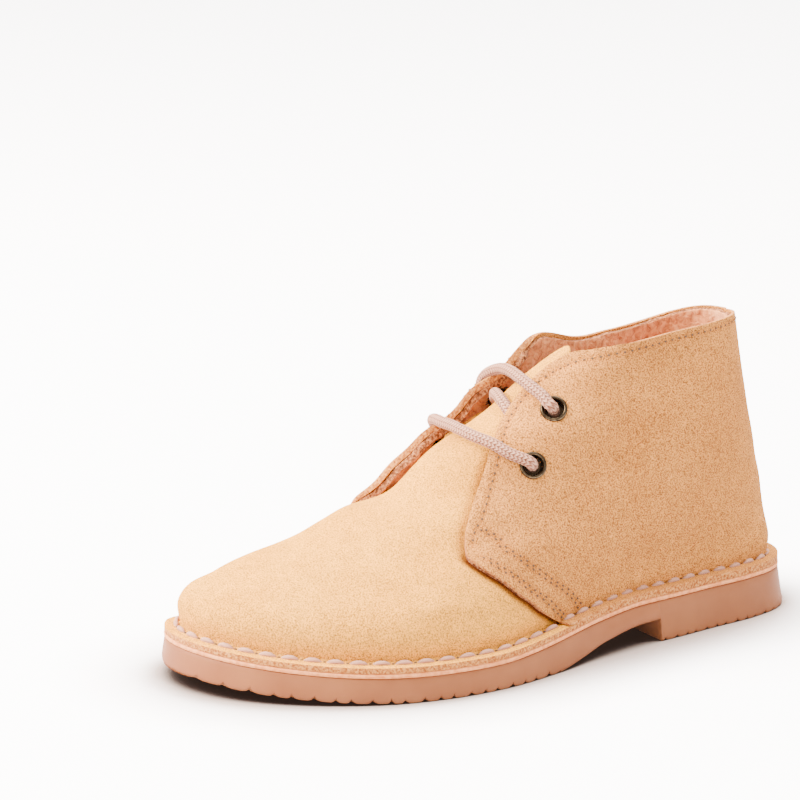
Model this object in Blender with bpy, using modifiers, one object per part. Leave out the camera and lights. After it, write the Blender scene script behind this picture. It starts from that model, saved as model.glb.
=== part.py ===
# Chukka boot, left foot, standing on its sole. Metres, +Z up, the toe points to -Y
# and the outer side of the foot is +X. The ground is z = 0.

import math
from collections import namedtuple

import bmesh
import bpy
from mathutils import Vector

# Driving dimensions of the sole
SOLE_LENGTH = 0.2575
SOLE_WIDTH = 0.0965
FOREFOOT_RUBBER = 0.0089
HEEL_RUBBER = 0.0152
TOE_SPRING = 0.0058
SHANK_LIFT = 0.0088
FOREFOOT_FLARE = 0.0011
HEEL_FLARE = 0.0022
SHOULDER_HEIGHT = 0.0030
SHOULDER_FLARE = 0.15
LAND_EDGES = (0.25, 0.75)
FOREFOOT_RIPPLE = 0.0064
HEEL_RIPPLE = 0.0052
RIPPLE_DEPTH = 0.0016
RIPPLE_SHARPNESS = 1.5
MIDSOLE_THICKNESS = 0.0014
INSOLE_THICKNESS = 0.0030

# Driving dimensions of the upper
COLLAR_RISE = 0.0961
INSTEP_RISE = 0.0885
UPPER_WALL = 0.0020
QUARTER_STEP = 0.0012
FLANGE_WIDTH = 0.0058
FLANGE_THICKNESS = 0.0021
FLANGE_STEP = 0.0007
FLANGE_FILLET = 0.0008
TONGUE_THICKNESS = 0.0018
TONGUE_TIP = 0.0050
TONGUE_CORNER = 0.8
TONGUE_SQUARENESS = 4

# Driving dimensions of the lacing
EYELET_OUTER = 0.0100
EYELET_BORE = 0.0066
EYELET_HOLE = 0.0080
EYELET_RIM = 0.0010
EYELET_CLINCH = 0.0005
EYELET_SEAT = 0.0005
EYELET_SETBACK = 0.0186
LACE_DIAMETER = 0.0048

# The running gap between pieces that touch
GAP = 0.0003

# How finely the curved faces are divided
TIP_STATIONS = 9
RIPPLE_STATIONS = 4
SHANK_STATIONS = (0.33, 0.365, 0.40, 0.435, 0.47)
PLATE_STATIONS = 60
TURN_STEP = 0.001
EDGE_STEP = 0.004
CLOSEST_TURNS = 0.0035
SHARP_EDGE = math.radians(35)
QUARTER_COLUMNS = 24
VAMP_COLUMNS = 10
LEVEL_STEP = 0.5
THROAT_LEVEL = 6.0
TONGUE_START = 5.0
TONGUE_UNDERLAP = 2
EYELET_STEPS = 12
PATCH_RISE = 0.45
PATCH_TURN = 0.03
RIDGE_TURN = 0.96

# Outline of the sole. along is the share of the length from the heel, and lateral and
# medial are where the outer and inner edges lie, as shares of the width.
OutlineRow = namedtuple("OutlineRow", "along lateral medial")
OUTLINE = (
    OutlineRow(0.03, 0.132, -0.250),
    OutlineRow(0.10, 0.219, -0.333),
    OutlineRow(0.20, 0.262, -0.319),
    OutlineRow(0.30, 0.304, -0.288),
    OutlineRow(0.40, 0.358, -0.292),
    OutlineRow(0.50, 0.433, -0.341),
    OutlineRow(0.60, 0.491, -0.415),
    OutlineRow(0.70, 0.489, -0.470),
    OutlineRow(0.80, 0.420, -0.498),
    OutlineRow(0.90, 0.263, -0.482),
    OutlineRow(0.97, 0.067, -0.401),
)
# Where the outline's ends lie across, as shares of the width
HEEL_MIDDLE = -0.053
TOE_MIDDLE = -0.190

# Side profile of the outsole. bottom is a share of the shank lift, top runs from the
# forefoot rubber at 0 to the heel rubber at 1, and spring is a share of the toe spring.
ProfileRow = namedtuple("ProfileRow", "along bottom top spring")
PROFILE = (
    ProfileRow(0.000, 0.00, 1.00, 0.00),
    ProfileRow(0.292, 0.00, 1.00, 0.00),
    ProfileRow(0.296, 1.00, 1.00, 0.00),
    ProfileRow(0.330, 0.98, 0.99, 0.00),
    ProfileRow(0.400, 0.70, 0.79, 0.00),
    ProfileRow(0.450, 0.32, 0.58, 0.00),
    ProfileRow(0.500, 0.03, 0.35, 0.00),
    ProfileRow(0.530, 0.00, 0.22, 0.00),
    ProfileRow(0.620, 0.00, 0.00, 0.00),
    ProfileRow(0.700, 0.00, 0.00, 0.00),
    ProfileRow(0.800, 0.00, 0.00, 0.11),
    ProfileRow(0.900, 0.00, 0.00, 0.44),
    ProfileRow(1.000, 0.00, 0.00, 1.00),
)
# Foot and top of the heel's front face, and the first lug of the forefoot, along the sole
BREAST = 0.292
BREAST_TOP = 0.296
TREAD_START = 0.500

# Foot of the upper's wall, which follows the outline of the sole. inset is added to the
# width of the flange, and rise is the height over the flange, both as shares of the collar rise.
FootRow = namedtuple("FootRow", "level inset rise")
FOOT = (
    FootRow(0.0, 0.000, 0.008),
    FootRow(1.0, -0.010, 0.074),
    FootRow(2.0, 0.010, 0.190),
    FootRow(2.5, 0.020, 0.250),
)
FOOT_ENDS = 1.0
FORM_STARTS = 2.5

# Levels of the upper from the wall's foot to the collar, each one loop round the foot.
# back and front: where the loop meets the heel seam and the ridge of the vamp, as
# shares of the sole's length. back_rise and front_rise: their heights over the flange,
# as shares of the collar rise and the instep rise. ridge: the ridge's place across.
# The rest are the outer and inner sides at the heel, waist and ball, and how full the
# loop is beside the ridge, as shares of the sole's width.
FormRow = namedtuple(
    "FormRow",
    "level back front back_rise front_rise ridge"
    " heel_out heel_in waist_out waist_in ball_out ball_in tip_out tip_in lift_out lift_in",
)
FORM = (
    FormRow(1, 0.029, 0.975, 0.074, 0.080, -0.190,
            0.193, -0.267, 0.337, -0.252, 0.406, -0.423, 0.725, 0.415, 0.0, 0.0),
    FormRow(2, 0.038, 0.952, 0.214, 0.190, -0.192,
            0.192, -0.264, 0.316, -0.267, 0.368, -0.381, 0.600, 0.360, 0.0, 0.0),
    FormRow(3, 0.047, 0.900, 0.350, 0.275, -0.192,
            0.192, -0.272, 0.295, -0.278, 0.295, -0.347, 0.520, 0.330, 0.0, 0.0),
    FormRow(4, 0.059, 0.822, 0.485, 0.345, -0.187,
            0.195, -0.278, 0.275, -0.285, 0.233, -0.325, 0.480, 0.310, 0.0, 0.0),
    FormRow(5, 0.069, 0.744, 0.589, 0.437, -0.176,
            0.195, -0.280, 0.254, -0.290, 0.212, -0.312, 0.440, 0.300, 0.0, 0.0),
    FormRow(6, 0.078, 0.667, 0.693, 0.540, -0.166,
            0.192, -0.278, 0.238, -0.285, 0.202, -0.300, 0.410, 0.290, 0.0, 0.0),
    FormRow(7, 0.086, 0.593, 0.797, 0.713, -0.155,
            0.181, -0.272, 0.223, -0.275, 0.192, -0.280, 0.390, 0.280, 0.010, -0.009),
    FormRow(8, 0.094, 0.515, 0.901, 0.832, -0.124,
            0.161, -0.259, 0.197, -0.259, 0.176, -0.259, 0.350, 0.275, 0.020, -0.022),
    FormRow(9, 0.100, 0.436, 1.000, 1.000, -0.083,
            0.130, -0.233, 0.181, -0.249, 0.176, -0.240, 0.300, 0.270, 0.031, -0.038),
)
HEEL_STATION = 0.15
WAIST_STATION = 0.45
BALL_STATION = 0.75

# Front edge of each quarter: how far round its loop it lies, from the heel at 0 to the
# ridge at 1.
EdgeRow = namedtuple("EdgeRow", "level outer inner")
QUARTER_EDGE = (
    EdgeRow(0.0, 0.480, 0.500),
    EdgeRow(1.0, 0.525, 0.560),
    EdgeRow(2.0, 0.595, 0.650),
    EdgeRow(3.0, 0.675, 0.740),
    EdgeRow(4.0, 0.730, 0.830),
    EdgeRow(5.0, 0.775, 0.910),
    EdgeRow(5.6, 0.810, 0.940),
    EdgeRow(6.6, 0.875, 0.950),
    EdgeRow(7.4, 0.925, 0.960),
    EdgeRow(8.2, 0.965, 0.975),
    EdgeRow(8.8, 0.980, 0.980),
    EdgeRow(9.0, 0.930, 0.930),
)

# Eyelets: the level that each one sits on
EyeletRow = namedtuple("EyeletRow", "name level")
EYELETS = (
    EyeletRow("lower", 6.36),
    EyeletRow("upper", 7.74),
)

# Front lip of an eyelet from the bore at 0 to the rim at 1, its height a share of the rim's.
# The back lip reaches this share of the way from the barrel to the rim.
LipRow = namedtuple("LipRow", "across height")
EYELET_LIP = (
    LipRow(0.00, 0.50),
    LipRow(0.35, 1.00),
    LipRow(0.75, 0.85),
    LipRow(1.00, 0.25),
    LipRow(1.00, 0.00),
)
BACK_LIP = 0.6

# Points of a lace bar over the throat. place is 0 at the ridge and 1 or -1 at the outer
# or inner eyelet, climb is how many levels it lies above its eyelets, and lift is its
# height over the wall as a share of the lace's diameter.
LaceRow = namedtuple("LaceRow", "place climb lift")
LACE_BAR = (
    LaceRow(-1.000, 0.00, -0.30),
    LaceRow(-1.000, 0.00, 0.50),
    LaceRow(-0.975, 0.03, 0.98),
    LaceRow(-0.905, 0.12, 1.28),
    LaceRow(-0.810, 0.24, 1.26),
    LaceRow(-0.650, 0.45, 1.08),
    LaceRow(-0.400, 0.72, 1.00),
    LaceRow(0.000, 0.90, 0.95),
    LaceRow(0.400, 0.72, 1.00),
    LaceRow(0.650, 0.45, 1.08),
    LaceRow(0.810, 0.24, 1.26),
    LaceRow(0.905, 0.12, 1.28),
    LaceRow(0.975, 0.03, 0.98),
    LaceRow(1.000, 0.00, 0.50),
    LaceRow(1.000, 0.00, -0.30),
)

# Points of the strand that runs up the throat from the lower bar to the upper one
LACE_STRAND = (
    LaceRow(0.430, 0.70, 0.95),
    LaceRow(0.410, 0.95, 0.60),
    LaceRow(0.320, 1.30, 0.32),
    LaceRow(0.150, 1.65, 0.32),
    LaceRow(-0.080, 1.98, 0.60),
    LaceRow(-0.250, 2.20, 0.95),
)
LACE_POINT_SPACING = 0.0050

HEEL_Y = SOLE_LENGTH / 2
COLUMNS = QUARTER_COLUMNS + VAMP_COLUMNS


def smooth(rows, at, column):
    """Value of a table's column on a curve that never overshoots its rows. The first
    column says where each row lies."""
    knots = [row[0] for row in rows]
    values = [getattr(row, column) for row in rows]
    if at <= knots[0]:
        return values[0]
    if at >= knots[-1]:
        return values[-1]
    slopes = [
        (values[i + 1] - values[i]) / (knots[i + 1] - knots[i])
        for i in range(len(rows) - 1)
    ]
    i = max(k for k in range(len(rows) - 1) if knots[k] <= at)
    before = slopes[i - 1] if i > 0 else slopes[0]
    after = slopes[i + 1] if i + 1 < len(slopes) else slopes[-1]
    width = knots[i + 1] - knots[i]
    t = (at - knots[i]) / width
    start = mean_slope(before, slopes[i]) * width
    end = mean_slope(slopes[i], after) * width
    return (
        values[i] * (1 + 2 * t) * (1 - t) ** 2
        + start * t * (1 - t) ** 2
        + values[i + 1] * t * t * (3 - 2 * t)
        + end * t * t * (t - 1)
    )


def mean_slope(first, second):
    if first * second <= 0:
        return 0.0
    return 2 * first * second / (first + second)


def ease(t):
    t = min(max(t, 0.0), 1.0)
    return t * t * (3 - 2 * t)


def share_of(turn):
    """How far along a loop a turn lies: both ends are round, so the turn is an angle."""
    return (1 - math.cos(math.pi * turn)) / 2


def turn_of(share):
    return math.acos(1 - 2 * share) / math.pi


# Sole: outline and heights

FullnessRow = namedtuple("FullnessRow", "along full")


def edge_x(turn, side):
    """Where the sole's edge lies across, at a turn from the heel at 0 to the toe at 1."""
    share = share_of(turn)
    middle = HEEL_MIDDLE + (TOE_MIDDLE - HEEL_MIDDLE) * share
    column = "lateral" if side > 0 else "medial"
    fullness = [
        (
            getattr(row, column)
            - (HEEL_MIDDLE + (TOE_MIDDLE - HEEL_MIDDLE) * row.along)
        )
        / math.sin(math.pi * turn_of(row.along))
        for row in OUTLINE
    ]
    rows = [FullnessRow(row.along, full) for row, full in zip(OUTLINE, fullness)]
    full = smooth(rows, share, "full")
    return SOLE_WIDTH * (middle + full * math.sin(math.pi * turn))


def outline_at(lap):
    """A point of the outline. The lap runs from the heel at 0 by the outer side to the
    toe at 1, and by the inner side back to 2."""
    lap = lap % 2
    turn, side = (lap, 1) if lap <= 1 else (2 - lap, -1)
    return Vector((edge_x(turn, side), HEEL_Y - SOLE_LENGTH * share_of(turn), 0))


def inset_point(lap, inset):
    along = outline_at(lap + EDGE_STEP) - outline_at(lap - EDGE_STEP)
    inward = Vector((along.y, -along.x, 0)).normalized()
    if inward.dot(outline_at(lap)) > 0:
        inward.negate()
    return outline_at(lap) + inward * inset


def along_of(point):
    return (HEEL_Y - point.y) / SOLE_LENGTH


def spring_at(along):
    return TOE_SPRING * smooth(PROFILE, along, "spring")


def ground_height(along):
    return SHANK_LIFT * smooth(PROFILE, along, "bottom") + spring_at(along)


def rubber_height(along):
    heel = smooth(PROFILE, along, "top")
    return FOREFOOT_RUBBER + (HEEL_RUBBER - FOREFOOT_RUBBER) * heel + spring_at(along)


def flare_at(along):
    heel = smooth(PROFILE, along, "top")
    return FOREFOOT_FLARE + (HEEL_FLARE - FOREFOOT_FLARE) * heel


def midsole_height(along):
    return rubber_height(along) + GAP + MIDSOLE_THICKNESS


def flange_height(along):
    return midsole_height(along) + GAP + FLANGE_THICKNESS


def ripple_at(along):
    """Height of a groove between two lugs, over the ground line."""
    if BREAST < along < TREAD_START:
        return 0.0
    pitch = HEEL_RIPPLE if along <= BREAST else FOREFOOT_RIPPLE
    start = 0.0 if along <= BREAST else TREAD_START
    phase = ((along - start) * SOLE_LENGTH / pitch) % 1.0
    return RIPPLE_DEPTH * (1 - math.sin(math.pi * phase)) ** RIPPLE_SHARPNESS


def sole_turns():
    """Turns at which the sole is divided: where lugs and grooves lie, at the breast, and
    closer together round the toe and the heel."""
    shares = [BREAST, BREAST_TOP, *SHANK_STATIONS]
    for start, end, pitch in (
        (0.0, BREAST, HEEL_RIPPLE),
        (TREAD_START, 1.0, FOREFOOT_RIPPLE),
    ):
        count = int((end - start) * SOLE_LENGTH / pitch * RIPPLE_STATIONS)
        step = pitch / RIPPLE_STATIONS / SOLE_LENGTH
        shares += [start + step * i for i in range(count + 1)]
    turns = [turn_of(share) for share in shares]
    first = turn_of(HEEL_RIPPLE / RIPPLE_STATIONS / SOLE_LENGTH)
    for i in range(TIP_STATIONS):
        turns.append(first * 2 * i / TIP_STATIONS)
        turns.append(1 - first * 2 * i / TIP_STATIONS)
    turns = sorted(turns)
    kept = [0.0]
    for turn in turns:
        if min(turn - kept[-1], 1 - turn) > CLOSEST_TURNS:
            kept.append(turn)
    return kept + [1.0]


def laps_of(turns):
    return turns + [2 - turn for turn in reversed(turns[1:-1])]


# Scene


def clear_scene():
    for item in list(bpy.data.objects):
        bpy.data.objects.remove(item, do_unlink=True)


def new_collection(name, shown):
    group = bpy.data.collections.new(name)
    group.hide_render = not shown
    bpy.context.scene.collection.children.link(group)
    return group


def new_material(name, colour, roughness, metallic=0.0):
    material = bpy.data.materials.new(name)
    material.use_nodes = True
    shader = material.node_tree.nodes["Principled BSDF"]
    shader.inputs["Base Color"].default_value = (*colour, 1.0)
    shader.inputs["Roughness"].default_value = roughness
    shader.inputs["Metallic"].default_value = metallic
    return material


def add_solid(name, points, faces, material, group):
    """One object from points and faces, its faces turned outwards."""
    mesh = bpy.data.meshes.new(name)
    mesh.from_pydata([tuple(point) for point in points], [], faces)
    shape = bmesh.new()
    shape.from_mesh(mesh)
    bmesh.ops.recalc_face_normals(shape, faces=shape.faces)
    shape.to_mesh(mesh)
    shape.free()
    mesh.shade_smooth()
    mesh.set_sharp_from_angle(angle=SHARP_EDGE)
    mesh.materials.append(material)
    item = bpy.data.objects.new(name, mesh)
    group.objects.link(item)
    return item


# Sole solids


def ring_faces(first, second, count):
    """Faces between two closed loops of points that start at these indices."""
    return [
        (first + i, first + (i + 1) % count, second + (i + 1) % count, second + i)
        for i in range(count)
    ]


def cap_faces(first, count):
    """Faces across a closed loop, from each outer point to the inner one beside it."""
    half = count // 2
    faces = []
    for i in range(half):
        corners = [first + i, first + i + 1]
        corners += [first + (count - i - 1) % count, first + (count - i) % count]
        faces.append(tuple(dict.fromkeys(corners)))
    return faces


def loop_points(laps, inset_of, height_of):
    points = []
    for lap in laps:
        edge = outline_at(lap)
        point = inset_point(lap, inset_of(along_of(edge)))
        point.z = height_of(along_of(edge))
        points.append(point)
    return points


def make_outsole(material, group):
    turns = sole_turns()
    laps = laps_of(turns)
    count = len(laps)
    tread = loop_points(laps, lambda a: 0.0, lambda a: ground_height(a) + ripple_at(a))
    shoulder = loop_points(
        laps,
        lambda a: flare_at(a) * SHOULDER_FLARE,
        lambda a: ground_height(a) + SHOULDER_HEIGHT,
    )
    top = loop_points(laps, flare_at, rubber_height)
    points = tread + shoulder + top
    faces = ring_faces(0, count, count) + ring_faces(count, 2 * count, count)
    faces += cap_faces(2 * count, count)
    rows = []
    for i in range(1, len(turns) - 1):
        outer = tread[i]
        inner = tread[count - i]
        row = [i]
        for share in LAND_EDGES:
            point = outer.lerp(inner, share)
            point.z = ground_height(along_of(outline_at(turns[i])))
            row.append(len(points))
            points.append(point)
        row.append(count - i)
        rows.append(row)
    for row, after in zip(rows, rows[1:]):
        for k in range(3):
            faces.append((row[k], row[k + 1], after[k + 1], after[k]))
    for tip, row in ((0, rows[0]), (len(turns) - 1, rows[-1])):
        for k in range(3):
            faces.append((tip, row[k], row[k + 1]))
    return add_solid("outsole", points, faces, material, group)


def plate(name, inset_of, bottom_of, top_of, material, group):
    """A flat layer with the sole's outline, which follows the side profile."""
    turns = [i / PLATE_STATIONS for i in range(PLATE_STATIONS + 1)]
    laps = laps_of(turns)
    count = len(laps)
    points = loop_points(laps, inset_of, bottom_of) + loop_points(laps, inset_of, top_of)
    faces = ring_faces(0, count, count) + cap_faces(0, count) + cap_faces(count, count)
    return add_solid(name, points, faces, material, group)


def make_midsole(material, group):
    return plate(
        "midsole",
        flare_at,
        lambda a: rubber_height(a) + GAP,
        midsole_height,
        material,
        group,
    )


def make_insole(material, group):
    return plate(
        "insole",
        lambda a: flare_at(a) + FLANGE_WIDTH + UPPER_WALL + 2 * GAP,
        lambda a: midsole_height(a) + GAP,
        lambda a: midsole_height(a) + GAP + INSOLE_THICKNESS,
        material,
        group,
    )


# Upper: its surface


def foot_point(level, turn, side):
    """A point of the wall where it still follows the sole's outline."""
    lap = turn if side > 0 else 2 - turn
    along = share_of(turn)
    inset = flare_at(along) + FLANGE_WIDTH + COLLAR_RISE * smooth(FOOT, level, "inset")
    point = inset_point(lap, inset)
    point.z = flange_height(along) + COLLAR_RISE * smooth(FOOT, level, "rise")
    return point


def form_point(level, turn, side):
    """A point of the wall where it follows the levels of the form."""
    share = share_of(turn)
    back = smooth(FORM, level, "back")
    front = smooth(FORM, level, "front")
    along = back + (front - back) * share
    middle = HEEL_MIDDLE + (smooth(FORM, level, "ridge") - HEEL_MIDDLE) * share
    ending = "_out" if side > 0 else "_in"
    rows = []
    for station, name in (
        (HEEL_STATION, "heel"),
        (WAIST_STATION, "waist"),
        (BALL_STATION, "ball"),
    ):
        centre = HEEL_MIDDLE + (smooth(FORM, level, "ridge") - HEEL_MIDDLE) * station
        reach = smooth(FORM, level, name + ending) - centre
        rows.append(
            FullnessRow(station, abs(reach) / math.sin(math.pi * turn_of(station)))
        )
    rows.append(FullnessRow(1.0, smooth(FORM, level, "tip" + ending)))
    width = side * smooth(rows, share, "full") * math.sin(math.pi * turn)
    rise = COLLAR_RISE * smooth(FORM, level, "back_rise") * (1 - share)
    rise += INSTEP_RISE * smooth(FORM, level, "front_rise") * share
    lift = COLLAR_RISE * smooth(FORM, level, "lift" + ending) * math.sin(math.pi * turn)
    height = flange_height(along) + rise + lift
    return Vector((SOLE_WIDTH * (middle + width), HEEL_Y - SOLE_LENGTH * along, height))


def wall_point(level, turn, side):
    if level <= FOOT_ENDS:
        return foot_point(level, turn, side)
    if level >= FORM_STARTS:
        return form_point(level, turn, side)
    share = ease((level - FOOT_ENDS) / (FORM_STARTS - FOOT_ENDS))
    return foot_point(level, turn, side).lerp(form_point(level, turn, side), share)


def quarter_turn(level, side):
    return turn_of(smooth(QUARTER_EDGE, level, "outer" if side > 0 else "inner"))


def column_turn(level, column):
    """Turn and side of a column of the wall: column 0 is the heel seam, and one column
    on each side runs up the quarter's front edge."""
    side = 1 if column <= COLUMNS else -1
    place = column if side > 0 else 2 * COLUMNS - column
    edge = quarter_turn(level, side)
    if place <= QUARTER_COLUMNS:
        return edge * place / QUARTER_COLUMNS, side
    return edge + (1 - edge) * (place - QUARTER_COLUMNS) / VAMP_COLUMNS, side


def levels():
    return [LEVEL_STEP * i for i in range(round(9 / LEVEL_STEP) + 1)]


def wall_grid():
    """The wall's points and the directions that it faces, for every level and column."""
    points = [
        [wall_point(level, *column_turn(level, column)) for column in range(2 * COLUMNS)]
        for level in levels()
    ]
    normals = []
    for i, row in enumerate(points):
        below = points[max(i - 1, 0)]
        above = points[min(i + 1, len(points) - 1)]
        normals.append(
            [
                (above[c] - below[c])
                .cross(row[(c + 1) % len(row)] - row[c - 1])
                .normalized()
                for c in range(len(row))
            ]
        )
    return points, normals


# Upper solid


def flange_points(column, stepped):
    """The flange's outer edge, below and above, and where its top meets the wall."""
    turn, side = column_turn(0.0, column)
    lap = turn if side > 0 else 2 - turn
    along = share_of(turn)
    step = QUARTER_STEP if stepped else 0.0
    raised = FLANGE_STEP if stepped else 0.0
    below = inset_point(lap, flare_at(along))
    outer = inset_point(lap, flare_at(along) - raised / 2)
    inner = inset_point(lap, flare_at(along) + FLANGE_WIDTH - FLANGE_FILLET - step)
    below.z = midsole_height(along) + GAP
    outer.z = inner.z = flange_height(along) + raised
    return below, outer, inner


def make_upper(material, group):
    grid, normals = wall_grid()
    top_row = len(grid) - 1
    throat_row = round(THROAT_LEVEL / LEVEL_STEP)
    edges = (QUARTER_COLUMNS, 2 * COLUMNS - QUARTER_COLUMNS)
    points = []
    faces = []

    def add(point):
        points.append(point)
        return len(points) - 1

    lining, quarter, vamp = {}, {}, {}
    for column in range(2 * COLUMNS):
        in_vamp = edges[0] <= column <= edges[1]
        in_quarter = column <= edges[0] or column >= edges[1]
        rows = top_row if in_quarter else throat_row
        turn, side = column_turn(0.0, column)
        lap = turn if side > 0 else 2 - turn
        along = share_of(turn)
        under = inset_point(lap, flare_at(along) + FLANGE_WIDTH + UPPER_WALL)
        under.z = midsole_height(along) + GAP
        lining[column] = [add(under)]
        for i in range(rows + 1):
            lining[column].append(add(grid[i][column] - normals[i][column] * UPPER_WALL))
        rim = add(flange_points(column, False)[0])
        for chains, here, step, last in (
            (quarter, in_quarter, QUARTER_STEP, top_row),
            (vamp, in_vamp, 0.0, throat_row),
        ):
            if not here:
                continue
            flange = flange_points(column, chains is quarter)
            chain = [rim, add(flange[1]), add(flange[2])]
            for i in range(last + 1):
                chain.append(add(grid[i][column] + normals[i][column] * step))
            chains[column] = chain

    for column in range(2 * COLUMNS):
        after = (column + 1) % (2 * COLUMNS)
        chains = vamp if edges[0] <= column < edges[1] else quarter
        first, second = chains[column], chains[after]
        inner, inner_after = lining[column], lining[after]
        for a, b in zip(range(len(first) - 1), range(1, len(first))):
            faces.append((first[a], first[b], second[b], second[a]))
        length = len(first) - 2
        for a, b in zip(range(length - 1), range(1, length)):
            faces.append((inner[b], inner[a], inner_after[a], inner_after[b]))
        faces.append((first[-1], inner[length - 1], inner_after[length - 1], second[-1]))
        faces.append((first[0], second[0], inner_after[0], inner[0]))

    for column in edges:
        raised, low, inner = quarter[column], vamp[column], lining[column]
        faces.append((raised[0], raised[1], low[1]))
        for i in range(1, len(low) - 1):
            faces.append((raised[i], raised[i + 1], low[i + 1], low[i]))
        last = len(low) - 1
        faces.append((raised[last], inner[last - 2], low[last]))
        for i in range(last, len(raised) - 1):
            faces.append((raised[i], raised[i + 1], inner[i - 1], inner[i - 2]))
    return add_solid("upper", points, faces, material, group)


def make_tongue(material, group):
    """A plate under the facings that carries on from below the vamp's throat."""
    grid, normals = wall_grid()
    start = round(TONGUE_START / LEVEL_STEP)
    first = QUARTER_COLUMNS - TONGUE_UNDERLAP
    last = 2 * COLUMNS - first
    outer_depth = UPPER_WALL + GAP
    inner_depth = outer_depth + TONGUE_THICKNESS
    rows = []
    for i in range(start, len(grid)):
        outer, inner = [], []
        for column in range(first, last + 1):
            point, normal = grid[i][column], normals[i][column]
            outer.append(point - normal * outer_depth)
            inner.append(point - normal * inner_depth)
        rows.append((outer, inner))
    tip_outer, tip_inner = [], []
    width = last - first
    for k in range(width + 1):
        share = (2 * k / width - 1) ** TONGUE_SQUARENESS
        up = (rows[-1][0][k] - rows[-2][0][k]).normalized()
        reach = up * TONGUE_TIP * (1 - TONGUE_CORNER * share)
        tip_outer.append(rows[-1][0][k] + reach)
        tip_inner.append(rows[-1][1][k] + reach)
    rows.append((tip_outer, tip_inner))
    points = []
    for outer, inner in rows:
        points += outer + inner
    across = width + 1
    faces = []
    for i in range(len(rows) - 1):
        here, above = 2 * across * i, 2 * across * (i + 1)
        for k in range(width):
            faces.append((here + k, here + k + 1, above + k + 1, above + k))
            a, b = here + across + k, above + across + k
            faces.append((a + 1, a, b, b + 1))
        for k in (0, width):
            faces.append((here + k, above + k, above + across + k, here + across + k))
    end = 2 * across * (len(rows) - 1)
    for k in range(width):
        faces.append((k, k + 1, across + k + 1, across + k))
        faces.append((end + k, end + k + 1, end + across + k + 1, end + across + k))
    return add_solid("tongue", points, faces, material, group)


# Eyelets and lace


def wall_normal(level, turn, side):
    """Direction that the wall faces, over a patch as wide as an eyelet."""
    above, below = level + PATCH_RISE, level - PATCH_RISE
    up = wall_point(above, turn, side) - wall_point(below, turn, side)
    behind, before = turn - PATCH_TURN, turn + PATCH_TURN
    back = wall_point(level, behind, side) - wall_point(level, before, side)
    return back.cross(up).normalized() * side


def eyelet_turn(level, side):
    """Where an eyelet sits round its level, its setback behind the quarter's edge."""
    turn = quarter_turn(level, side)
    reach = 0.0
    here = wall_point(level, turn, side)
    while reach < EYELET_SETBACK:
        turn -= TURN_STEP
        after = wall_point(level, turn, side)
        reach += (after - here).length
        here = after
    return turn


def eyelet_seat(level, side):
    """Centre and facing direction of an eyelet, on the outer face of the quarter."""
    turn = eyelet_turn(level, side)
    normal = wall_normal(level, turn, side)
    return wall_point(level, turn, side) + normal * QUARTER_STEP, normal


def add_cutter(name, centre, normal, group):
    shape = bmesh.new()
    bmesh.ops.create_cone(
        shape,
        cap_ends=True,
        segments=EYELET_STEPS,
        radius1=EYELET_HOLE / 2,
        radius2=EYELET_HOLE / 2,
        depth=4 * (UPPER_WALL + QUARTER_STEP),
    )
    mesh = bpy.data.meshes.new(name)
    shape.to_mesh(mesh)
    shape.free()
    item = bpy.data.objects.new(name, mesh)
    item.location = centre
    item.rotation_mode = "QUATERNION"
    item.rotation_quaternion = Vector((0, 0, 1)).rotation_difference(normal)
    item.hide_render = True
    item.display_type = "WIRE"
    group.objects.link(item)
    return item


def eyelet_profile():
    """Half section of an eyelet, its barrel down the wall and a rim over each end."""
    bore = EYELET_BORE / 2
    barrel = EYELET_HOLE / 2 - GAP
    rim = EYELET_OUTER / 2
    back_rim = barrel + BACK_LIP * (rim - barrel)
    depth = UPPER_WALL + QUARTER_STEP + 2 * EYELET_SEAT
    front = [
        (bore + row.across * (rim - bore), EYELET_SEAT + row.height * EYELET_RIM)
        for row in EYELET_LIP
    ]
    return front + [
        (barrel, EYELET_SEAT),
        (barrel, -depth),
        (back_rim, -depth),
        (back_rim, -depth - EYELET_CLINCH / 2),
        (bore, -depth - EYELET_CLINCH),
    ]


def make_eyelet(name, centre, normal, material, group):
    profile = eyelet_profile()
    mesh = bpy.data.meshes.new(name)
    points = [(radius, 0, height) for radius, height in profile]
    edges = [(i, (i + 1) % len(points)) for i in range(len(points))]
    mesh.from_pydata(points, edges, [])
    mesh.materials.append(material)
    item = bpy.data.objects.new(name, mesh)
    item.location = centre
    item.rotation_mode = "QUATERNION"
    item.rotation_quaternion = Vector((0, 0, 1)).rotation_difference(normal)
    turned = item.modifiers.new("Turned", "SCREW")
    turned.steps = EYELET_STEPS
    turned.render_steps = EYELET_STEPS
    turned.use_merge_vertices = True
    turned.merge_threshold = 0.00005
    turned.use_smooth_shade = True
    group.objects.link(item)
    return item


def lace_point(level, row):
    """A point of the lace over the wall, for a bar whose eyelets sit on this level."""
    side = 1 if row.place >= 0 else -1
    start = eyelet_turn(level, side)
    turn = start + (1 - start) * (1 - abs(row.place))
    here = level + row.climb
    if turn < RIDGE_TURN:
        out = wall_normal(here, turn, side)
    else:
        out = wall_normal(here, RIDGE_TURN, 1) + wall_normal(here, RIDGE_TURN, -1)
        out.normalize()
    return wall_point(here, turn, side) + out * LACE_DIAMETER * row.lift


def lace_path(level, rows):
    """A smooth run of points through a lace's own points."""
    knots = [lace_point(level, row) for row in rows]
    knots = [2 * knots[0] - knots[1], *knots, 2 * knots[-1] - knots[-2]]
    path = [knots[1]]
    for before, start, end, after in zip(knots, knots[1:], knots[2:], knots[3:]):
        count = max(1, round((end - start).length / LACE_POINT_SPACING))
        for i in range(1, count + 1):
            t = i / count
            point = 2 * start + (end - before) * t
            point += (2 * before - 5 * start + 4 * end - after) * t * t
            point += (3 * start - before - 3 * end + after) * t ** 3
            path.append(point / 2)
    return path


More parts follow.
